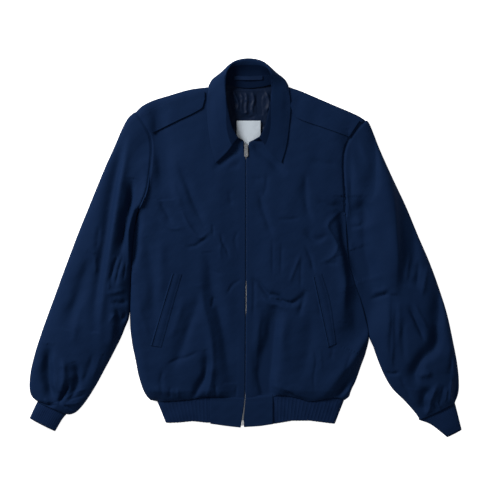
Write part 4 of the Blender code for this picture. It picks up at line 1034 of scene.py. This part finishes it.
# %% [markdown]
# The zip. Each tape is a flat woven strip with a bead along its edge, and the teeth are small
# stamped pieces clamped on that bead, one side half a pitch behind the other. They show where
# the fronts part. The slider stays at the top as shown, and the pull tab hangs from it.

# %% Zip
TOOTH_PITCH = 2.4
TOOTH = (3.4, 1.3, 1.7)     # across, along, thick
ZIP_DROP = CLOTH + 0.9
ZIP_LOW = -369.0
ZIP_HIGH = SLIDER_Y - 8.2


def zip_level(y):
    return column(HEIGHT, y, 1) - ZIP_DROP


def tape_grid(x_in, x_out):
    y = np.linspace(ZIP_LOW, 219, 120 * FINE)
    grid = np.zeros((len(y), 5, 3))
    for j, t in enumerate(np.linspace(0, 1, 5)):
        grid[:, j, 0] = centre_x(y) + x_in + t * (x_out - x_in)
        grid[:, j, 1] = y
        grid[:, j, 2] = zip_level(y) - 0.8 + 0.5 * (t == (0 if x_out > x_in else 0))
    return grid


def teeth(side):
    """One tooth shaped from a cube, repeated by an array, each then moved onto its tape."""
    bpy.ops.object.select_all(action="DESELECT")
    bpy.ops.mesh.primitive_cube_add(size=MM, location=(side * TOOTH[0] * 0.36 * MM, 0, 0))
    ob = bpy.context.object
    bpy.ops.object.mode_set(mode="EDIT")
    bpy.ops.transform.resize(value=TOOTH)
    bpy.ops.mesh.select_all(action="DESELECT")
    cage = bmesh.from_edit_mesh(ob.data)
    for face in cage.faces:
        face.select_set(face.normal.x * side < -0.9)
    bmesh.update_edit_mesh(ob.data)
    bpy.ops.transform.resize(value=(1, 0.72, 0.8))
    bpy.ops.mesh.select_all(action="SELECT")
    bpy.ops.mesh.bevel(offset=0.18 * MM, segments=1)
    bpy.ops.object.mode_set(mode="OBJECT")
    bpy.ops.object.transform_apply(location=True, rotation=False, scale=False)
    steps = int((ZIP_HIGH - ZIP_LOW) / TOOTH_PITCH)
    row = ob.modifiers.new("row", "ARRAY")
    row.count = steps
    row.use_relative_offset = False
    row.use_constant_offset = True
    row.constant_offset_displace = (0, 0, 0)
    keep_modifiers(ob)
    co = np.zeros(len(ob.data.vertices) * 3)
    ob.data.vertices.foreach_get("co", co)
    co = co.reshape(steps, -1, 3)
    y = ZIP_LOW + (np.arange(steps) + 0.5 * (side > 0)) * TOOTH_PITCH
    co += np.stack([centre_x(y), y, zip_level(y)], axis=1)[:, None] * MM
    ob.data.vertices.foreach_set("co", co.ravel())
    ob.data.update()
    return ob


def join(name, pieces):
    bpy.ops.object.select_all(action="DESELECT")
    for ob in pieces:
        ob.select_set(True)
    bpy.context.view_layer.objects.active = pieces[0]
    bpy.ops.object.join()
    pieces[0].name = name
    return pieces[0]


zip_teeth = join("zip_teeth", [teeth(-1), teeth(1)])
tape_right = shell("zip_tape_cloth_right", tape_grid(-2.6, -14.5), 0.8)
tape_left = shell("zip_tape_cloth_left", tape_grid(2.6, 14.5), 0.8)
report(zip_teeth, tape_right, tape_left)

# %% [markdown]
# Stitching. Each stitch is a short capsule of thread pressed into the cloth. A row is laid by
# walking along a line at an even pitch and dropping every stitch onto the cloth under it.

# %% Stitching
STITCH_PITCH = 3.3
STITCH_LENGTH = 2.5
THREAD = 0.32           # half thickness


def stitch_row(line, tree, verts, faces, sink=0.12, pitch=STITCH_PITCH):
    line = np.asarray(line, dtype=float)
    run = np.concatenate([[0], np.cumsum(np.linalg.norm(np.diff(line, axis=0), axis=1))])
    count = max(2, int(run[-1] / pitch))
    for k in range(count):
        s = (k + 0.5) * run[-1] / count
        a = np.array([np.interp(s - STITCH_LENGTH / 2, run, line[:, c]) for c in (0, 1)])
        b = np.array([np.interp(s + STITCH_LENGTH / 2, run, line[:, c]) for c in (0, 1)])
        za, zb = drop(tree, *a, miss=-1), drop(tree, *b, miss=-1)
        if za < 0 or zb < 0 or abs(za - zb) > 2.0:
            continue
        p, q = Vector((*a, za - sink)), Vector((*b, zb - sink))
        axis = (q - p).normalized()
        across = axis.cross(Vector((0, 0, 1))).normalized()
        up = across.cross(axis)
        start = len(verts)
        for t, r in ((0.0, 0.35), (0.18, 1.0), (0.82, 1.0), (1.0, 0.35)):
            centre = p.lerp(q, t)
            for m in range(6):
                angle = m * math.pi / 3
                offset = (across * math.cos(angle) + up * math.sin(angle)) * THREAD * r
                verts.append(tuple((centre + offset) * MM))
        for ring in range(3):
            for m in range(6):
                u = start + ring * 6 + m
                v = start + ring * 6 + (m + 1) % 6
                faces.append((u, u + 6, v + 6, v))
        faces.append(tuple(start + m for m in range(6)))
        faces.append(tuple(start + 18 + m for m in range(5, -1, -1)))


def beside(line, gap):
    """A line moved to its left by gap."""
    line = np.asarray(line, dtype=float)
    tangent = np.gradient(line, axis=0)
    normal = np.stack([-tangent[:, 1], tangent[:, 0]], axis=1)
    return line + gap * normal / np.linalg.norm(normal, axis=1)[:, None]


def stitches(name, rows):
    verts, faces = [], []
    for line, tree in rows:
        stitch_row(line, tree, verts, faces)
    ob = new_object(name, verts, faces)
    ob.data.polygons.foreach_set("use_smooth", np.ones(len(ob.data.polygons), dtype=bool))
    return ob


tree_collar = tree_of(collar)
collar_rows = [(collar_points[4 * FINE:-4 * FINE, 3 * FINE, :2], tree_collar)]
ends = [collar_points[2 * FINE, 3 * FINE:16 * FINE, :2], collar_points[-1 - 2 * FINE, 3 * FINE:16 * FINE, :2]]
collar_rows += [(line, tree_collar) for line in ends]

strap_rows = []
for name, edges in (("strap_right", STRAP_RIGHT), ("strap_left", STRAP_LEFT)):
    tree = tree_of(laid[name])
    low, high = spline(edges[0], even(60)), spline(edges[1], even(60))
    across = np.linalg.norm(high - low, axis=1)[:, None]
    line_low = low + (high - low) * 4.0 / np.maximum(across, 9)
    line_high = high - (high - low) * 4.0 / np.maximum(across, 9)
    strap_rows += [(line_low[1:-6], tree), (line_high[1:-6], tree), (np.array([line_low[-7], line_high[-7]]), tree)]

welt_rows = []
for name, edges, tree in (("welt_right", WELT_RIGHT, tree_r), ("welt_left", WELT_LEFT, tree_l)):
    on = tree_of(laid[name])
    outside, inside = spline(edges[0], even(60)), spline(edges[1], even(60))
    middle = inside - (inside - outside) * 0.16
    welt_rows += [(middle, on), (np.array([outside[1], inside[1]]), on), (np.array([outside[-2], inside[-2]]), on)]

y_fly = np.linspace(-57, 200, 90)
fly_rows = [(np.stack([centre_x(y_fly) + side * 4.2, y_fly], axis=1), tree)
            for side, tree in ((-1, tree_r), (1, tree_l))]
fly_rows.append((np.array([(-3.4, -57.0), (25, -57.0)]), tree_l))

tree_waist = tree_of(tab_right, tab_left, waist_knit)
waist_rows = []
for lift, tree in ((2.0, None), (-4.5, tree_waist)):
    for sign, x_low, x_high, over in ((-1, -186, -10, tree_r), (1, 0, 197, tree_l)):
        x = np.linspace(x_low, x_high, 80)
        waist_rows.append((np.stack([x, waist_y(x, sign) + lift], axis=1), tree or over))

seam_rows = []
for line, tree, sign in ((ARM_RIGHT, tree_r, -1), (ARM_LEFT, tree_l, 1)):
    seam_rows.append((beside(spline(line, even(80)), sign * 5.0), tree))

tree_loop = tree_of(loop)
tacks = [np.array([(x, 357.6), (x, 365.4)]) for x in (-27.5, -24.0, 25.0, 28.5)]
loop_rows = [(line, tree_loop) for line in tacks]

all_stitches = [stitches("collar_stitching", collar_rows), stitches("loop_stitching", loop_rows), stitches("strap_stitching", strap_rows),
                stitches("welt_stitching", welt_rows), stitches("fly_stitching", fly_rows),
                stitches("waist_stitching", waist_rows), stitches("armhole_stitching", seam_rows)]
report(*all_stitches)

# %% [markdown]
# Each new piece rides the body that its solid belongs to and takes that solid's place. Only
# the zip's hard parts are used from the solids as they are, apart from the teeth.

# %% Bodies and replaced solids
REPLACED = [
    (back, "back", "shell"), (front_right, "front_right", "shell"), (front_left, "front_left", "shell"),
    (sleeve_right, "sleeve_right", "shell"), (sleeve_left, "sleeve_left", "shell"),
    (cuff_right, "cuff_right", "knit"), (cuff_left, "cuff_left", "knit"), (waist_knit, "waist_rib", "knit"),
    (tab_right, "waist_tab_right", "shell"), (tab_left, "waist_tab_left", "shell"), (collar, "collar", "shell"),
    (laid["strap_right"], "strap_right", "shell"), (laid["strap_left"], "strap_left", "shell"),
    (laid["welt_right"], "welt_right", "shell"), (laid["welt_left"], "welt_left", "shell"),
    (loop, "hanger_loop", "satin"), (lining, "lining", "satin"), (label, "label", "label"),
    (tape_right, "zip_tape_right", "tape"), (tape_left, "zip_tape_left", "tape"), (zip_teeth, "zip_chain", "zip_metal"),
]
for ob, node, slot in REPLACED:
    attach(ob, "garment")
    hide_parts(node)
for ob in all_stitches:
    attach(ob, "garment")

# %% [markdown]
# The flat sizes are those of the cut pieces, all round on a tube, with a little added for the
# dome and the creases. What is hidden in the seams isn't counted.

# %% Cloth cuts
CUTS = [
    (back, 0.50, 0.67, 0.29, ()),
    (front_right, 0.25, 0.67, 0.140, (back,)), (front_left, 0.27, 0.67, 0.143, (back,)),
    (sleeve_right, 0.36, 0.67, 0.17, ()), (sleeve_left, 0.36, 0.67, 0.17, ()),
    (cuff_right, 0.16, 0.045, 0.0062, ()), (cuff_left, 0.16, 0.045, 0.0062, ()),
    (waist_knit, 0.70, 0.055, 0.032, ()),
    (tab_right, 0.070, 0.060, 0.0040, (tape_right,)), (tab_left, 0.060, 0.060, 0.0034, (tape_left,)),
    (collar, 0.52, 0.09, 0.036, (front_right, front_left)),
    (laid["strap_right"], 0.115, 0.046, 0.0042, (front_right,)),
    (laid["strap_left"], 0.125, 0.046, 0.0046, (front_left,)),
    (laid["welt_right"], 0.021, 0.158, 0.0031, (front_right,)),
    (laid["welt_left"], 0.020, 0.154, 0.0027, (front_left,)),
    (loop, 0.062, 0.012, 0.0006, (collar,)), (lining, 0.17, 0.15, 0.016, (back,)),
    (label, 0.051, 0.056, 0.0027, (lining,)),
    (tape_right, 0.012, 0.575, 0.0069, ()), (tape_left, 0.012, 0.575, 0.0069, ()),
]
for ob, width, length, area, under in CUTS:
    print(ob.name, "cut", area, "made", round(cloth_area(ob), 4))


# %% [markdown]
# Materials are built from plain maths. A value in the shader is wrapped so that it can be
# added and multiplied as a number, and one method adds any other kind of node.

# %% Shader helpers
class Value:
    def __init__(self, shade, socket):
        self.shade = shade
        self.socket = socket

    def _math(self, operation, a, b=None):
        return self.shade.node("ShaderNodeMath", {"operation": operation}, [a] if b is None else [a, b])

    def __add__(self, other):
        return self._math("ADD", self, other)

    def __radd__(self, other):
        return self._math("ADD", other, self)

    def __sub__(self, other):
        return self._math("SUBTRACT", self, other)

    def __rsub__(self, other):
        return self._math("SUBTRACT", other, self)

    def __mul__(self, other):
        return self._math("MULTIPLY", self, other)

    def __rmul__(self, other):
        return self._math("MULTIPLY", other, self)

    def __truediv__(self, other):
        return self._math("DIVIDE", self, other)

    def __pow__(self, other):
        return self._math("POWER", self, other)

    def sine(self):
        return self._math("SINE", self)

    def size(self):
        return self._math("ABSOLUTE", self)

    def over(self, other):
        return self._math("GREATER_THAN", self, other)


class Shade:
    """One material. node() takes a node's type, its settings and what goes into its sockets."""

    def __init__(self, name, rough, metal=0.0, specular=0.5, sheen=0.0):
        self.material = bpy.data.materials.new(name)
        self.material.use_nodes = True
        self.tree = self.material.node_tree
        self.surface = self.tree.nodes["Principled BSDF"]
        self.surface.inputs["Roughness"].default_value = rough
        self.surface.inputs["Metallic"].default_value = metal
        self.surface.inputs["Specular IOR Level"].default_value = specular
        self.surface.inputs["Sheen Weight"].default_value = sheen

    def put(self, socket, value):
        if isinstance(value, Value):
            self.tree.links.new(value.socket, socket)
        elif hasattr(value, "__len__") and len(value) == 3 and socket.type == "RGBA":
            socket.default_value = (*value, 1)
        else:
            socket.default_value = value

    def node(self, kind, settings=None, sockets=None, out=0):
        n = self.tree.nodes.new(kind)
        for key, value in (settings or {}).items():
            setattr(n, key, value)
        pairs = sockets.items() if isinstance(sockets, dict) else enumerate(sockets or [])
        for key, value in pairs:
            self.put(n.inputs[key], value)
        return Value(self, n.outputs[out])

    def colour(self, factor, a, b):
        return self.node("ShaderNodeMix", {"data_type": "RGBA"}, {0: factor, 6: a, 7: b}, 2)

    def place(self):
        return self.node("ShaderNodeTexCoord", out="Object")

    def cut(self):
        """Lengths along the cut piece, in millimetres across and along."""
        uv = self.node("ShaderNodeUVMap", {"uv_map": "cut"})
        parts = self.tree.nodes.new("ShaderNodeSeparateXYZ")
        self.put(parts.inputs[0], uv)
        return Value(self, parts.outputs[0]) * 1000, Value(self, parts.outputs[1]) * 1000

    def noise(self, where, scale, detail=2.0, rough=0.5):
        return self.node("ShaderNodeTexNoise", None,
                         {"Vector": where, "Scale": scale, "Detail": detail, "Roughness": rough})

    def bump(self, height, strength, depth):
        normal = self.node("ShaderNodeBump", None,
                           {"Height": height, "Strength": strength, "Distance": depth * MM}, "Normal")
        self.put(self.surface.inputs["Normal"], normal)

    def set(self, name, value):
        self.put(self.surface.inputs[name], value)


# %% [markdown]
# The shell is a tightly woven navy cloth with a fine twill line, dull but not dead: its raised
# folds catch a little light. Real cloth takes dye unevenly, so the colour drifts slightly.

# %% Shell cloth
NAVY = (0.0035, 0.0106, 0.0342)
NAVY_WORN = (0.0045, 0.0128, 0.0390)


def woven(name, dark, pale, rough, specular, pitch, depth, with_cut=True):
    shade = Shade(name, rough, specular=specular)
    place = shade.place()
    drift = shade.noise(place, 9, 3, 0.6) * 0.6 + shade.noise(place, 60, 2) * 0.4
    fleck = shade.noise(place, 900, 1)
    shade.set("Base Color", shade.colour(drift * 1.6 - 0.3, dark, pale))
    shade.set("Roughness", drift * 0.1 + (rough - 0.05))
    height = fleck * 0.5
    if with_cut:
        u, v = shade.cut()
        twill = ((u + v) * (2 * math.pi / pitch)).sine()
        thread = ((u - v * 0.4) * (2 * math.pi / (pitch * 0.63))).sine()
        height = height + twill * 0.3 + thread * 0.15
    shade.bump(height, 0.5, depth)
    return shade.material


shell_cloth = woven("navy_twill", NAVY, NAVY_WORN, 0.72, 0.014, 0.9, 0.06)
# The stand's cloth is the shell navy made darker: painted shade for the stand lying in the roll's shade.
stand_painted_shade_cloth = woven("navy_twill_stand_painted_shade", (0.0018, 0.0057, 0.0192), (0.0024, 0.0070, 0.0222), 0.72, 0.012, 0.9, 0.06)
edge_cloth = woven("navy_twill_back", NAVY, NAVY_WORN, 0.6, 0.014, 0.9, 0.05, False)
tape_cloth = woven("zip_tape_weave", (0.0024, 0.007, 0.022), (0.0032, 0.009, 0.028), 0.6, 0.014, 0.7, 0.06)
thread_cloth = woven("navy_thread", (0.0040, 0.0118, 0.037), (0.0052, 0.0145, 0.044), 0.45, 0.03, 0.3, 0.02, False)

# %% [markdown]
# The rib knit is the same navy in wool. Its stitches show as small chevrons on each rib.

# %% Rib knit
def knit(name):
    shade = Shade(name, 0.75, specular=0.014)
    place = shade.place()
    drift = shade.noise(place, 14, 3)
    u, v = shade.cut()
    across = (u * (math.pi / RIB)).sine()
    loop_line = ((v + across.size() * 1.2) * (2 * math.pi / 1.5)).sine()
    fuzz = shade.noise(place, 1200, 2)
    shade.set("Base Color", shade.colour(drift * 1.4 - 0.2, (0.0037, 0.0108, 0.0360), (0.0048, 0.0132, 0.0410)))
    shade.bump(loop_line * 0.5 + fuzz * 0.8, 0.6, 0.12)
    return shade.material


knit_cloth = knit("navy_rib_knit")


# %% [markdown]
# The lining is darker and smoother, a satin that shines softly along its wrinkles. The label is
# pale woven tape with nothing on it.

# %% Lining and label
def satin(name, dark, pale, rough, specular):
    shade = Shade(name, rough, specular=specular)
    place = shade.place()
    shade.set("Base Color", shade.colour(shade.noise(place, 30, 3), dark, pale))
    u, v = shade.cut()
    shade.bump((u * (2 * math.pi / 0.35)).sine() * 0.2 + shade.noise(place, 240, 3) * 1.2, 0.35, 0.12)
    return shade.material


def label_weave():
    shade = Shade("label_weave", 0.55, specular=0.25, sheen=0.1)
    u, v = shade.cut()
    weave = (u * (2 * math.pi / 0.55)).sine() * (v * (2 * math.pi / 0.8)).sine()
    tone = shade.noise(shade.place(), 45, 3)
    shade.set("Base Color", shade.colour(tone, (0.345, 0.385, 0.43), (0.40, 0.445, 0.49)))
    shade.bump(weave, 0.4, 0.08)
    return shade.material


lining_cloth = satin("navy_satin", (0.0020, 0.0058, 0.0180), (0.0040, 0.0096, 0.0270), 0.48, 0.045)
loop_cloth = satin("navy_tape_satin", (0.0036, 0.0100, 0.0310), (0.0046, 0.0120, 0.0360), 0.5, 0.03)
label_cloth = label_weave()


# %% [markdown]
# The zip's teeth, slider and pull tab are a pale die-cast alloy, tumbled bright, with faint
# marks where they rub.

# %% Alloy
def alloy(name, rough):
    shade = Shade(name, rough, metal=1.0)
    place = shade.place()
    marks = shade.noise(place, 700, 3, 0.7)
    shade.set("Base Color", shade.colour(shade.noise(place, 160, 2), (0.54, 0.55, 0.57), (0.66, 0.67, 0.69)))
    shade.set("Roughness", marks * 0.16 + (rough - 0.08))
    shade.bump(marks, 0.25, 0.03)
    return shade.material


bright_alloy = alloy("zip_alloy", 0.28)
teeth_alloy = alloy("zip_teeth_alloy", 0.36)

MATERIALS = {back: edge_cloth, lining: lining_cloth, label: label_cloth, loop: loop_cloth,
             tape_right: tape_cloth, tape_left: tape_cloth, zip_teeth: teeth_alloy,
             cuff_right: knit_cloth, cuff_left: knit_cloth, waist_knit: knit_cloth}
for ob, node, slot in REPLACED:
    ob.data.materials.append(MATERIALS.get(ob, shell_cloth))
# The collar's stand faces get the darker cloth, which is painted shade.
collar.data.materials.append(stand_painted_shade_cloth)
for ob in all_stitches:
    ob.data.materials.append(thread_cloth)
for name in ("zip_slider", "zip_pull_tab"):
    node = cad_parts[name]
    node.data.materials.clear()
    node.data.materials.append(bright_alloy)
print("materials", len(bpy.data.materials))


# %% [markdown]
# The photograph has a white ground, one large soft light low at the upper left, which draws the
# creases, and weak light from all round. The camera is straight above.

# %% Stage, light and camera
def paper(name):
    shade = Shade(name, 0.9, specular=0.1)
    shade.set("Base Color", (0.9, 0.9, 0.9))
    shade.set("Emission Color", (1.0, 1.0, 1.0))
    shade.set("Emission Strength", FLOOR_GLOW)
    return shade.material


def light(name, azimuth, elevation, reach, size, power):
    data = bpy.data.lights.new(name, "AREA")
    data.shape = "DISK"
    data.size = size
    data.energy = power
    ob = bpy.data.objects.new(name, data)
    bpy.context.scene.collection.objects.link(ob)
    a, e = math.radians(azimuth), math.radians(elevation)
    ob.location = (reach * math.cos(e) * math.cos(a), reach * math.cos(e) * math.sin(a), reach * math.sin(e))
    ob.rotation_euler = (-ob.location).to_track_quat("-Z", "Y").to_euler()
    return ob


FLOOR_GLOW = 0.8
bpy.ops.mesh.primitive_plane_add(size=24.0, location=(0, 0, -0.0002))
floor = bpy.context.object
floor.name = "floor"
floor.data.materials.append(paper("floor_paper"))
light("key", 142, 31, 3.2, 1.3, 172)
light("fill", -20, 62, 3.0, 2.0, 17)
world = bpy.data.worlds.new("studio")
bpy.context.scene.world = world
world.use_nodes = True
world.node_tree.nodes["Background"].inputs["Color"].default_value = (0.94, 0.97, 1.0, 1)
world.node_tree.nodes["Background"].inputs["Strength"].default_value = 0.15

cam_data = bpy.data.cameras.new("camera")
cam_data.lens = 100
cam_data.sensor_width = 36
camera = bpy.data.objects.new("camera", cam_data)
bpy.context.scene.collection.objects.link(camera)
camera.location = (0.0042, 0.0, 1.05 * 100 / 36 + 0.012)
bpy.context.scene.camera = camera
bpy.context.scene.view_settings.view_transform = "Standard"
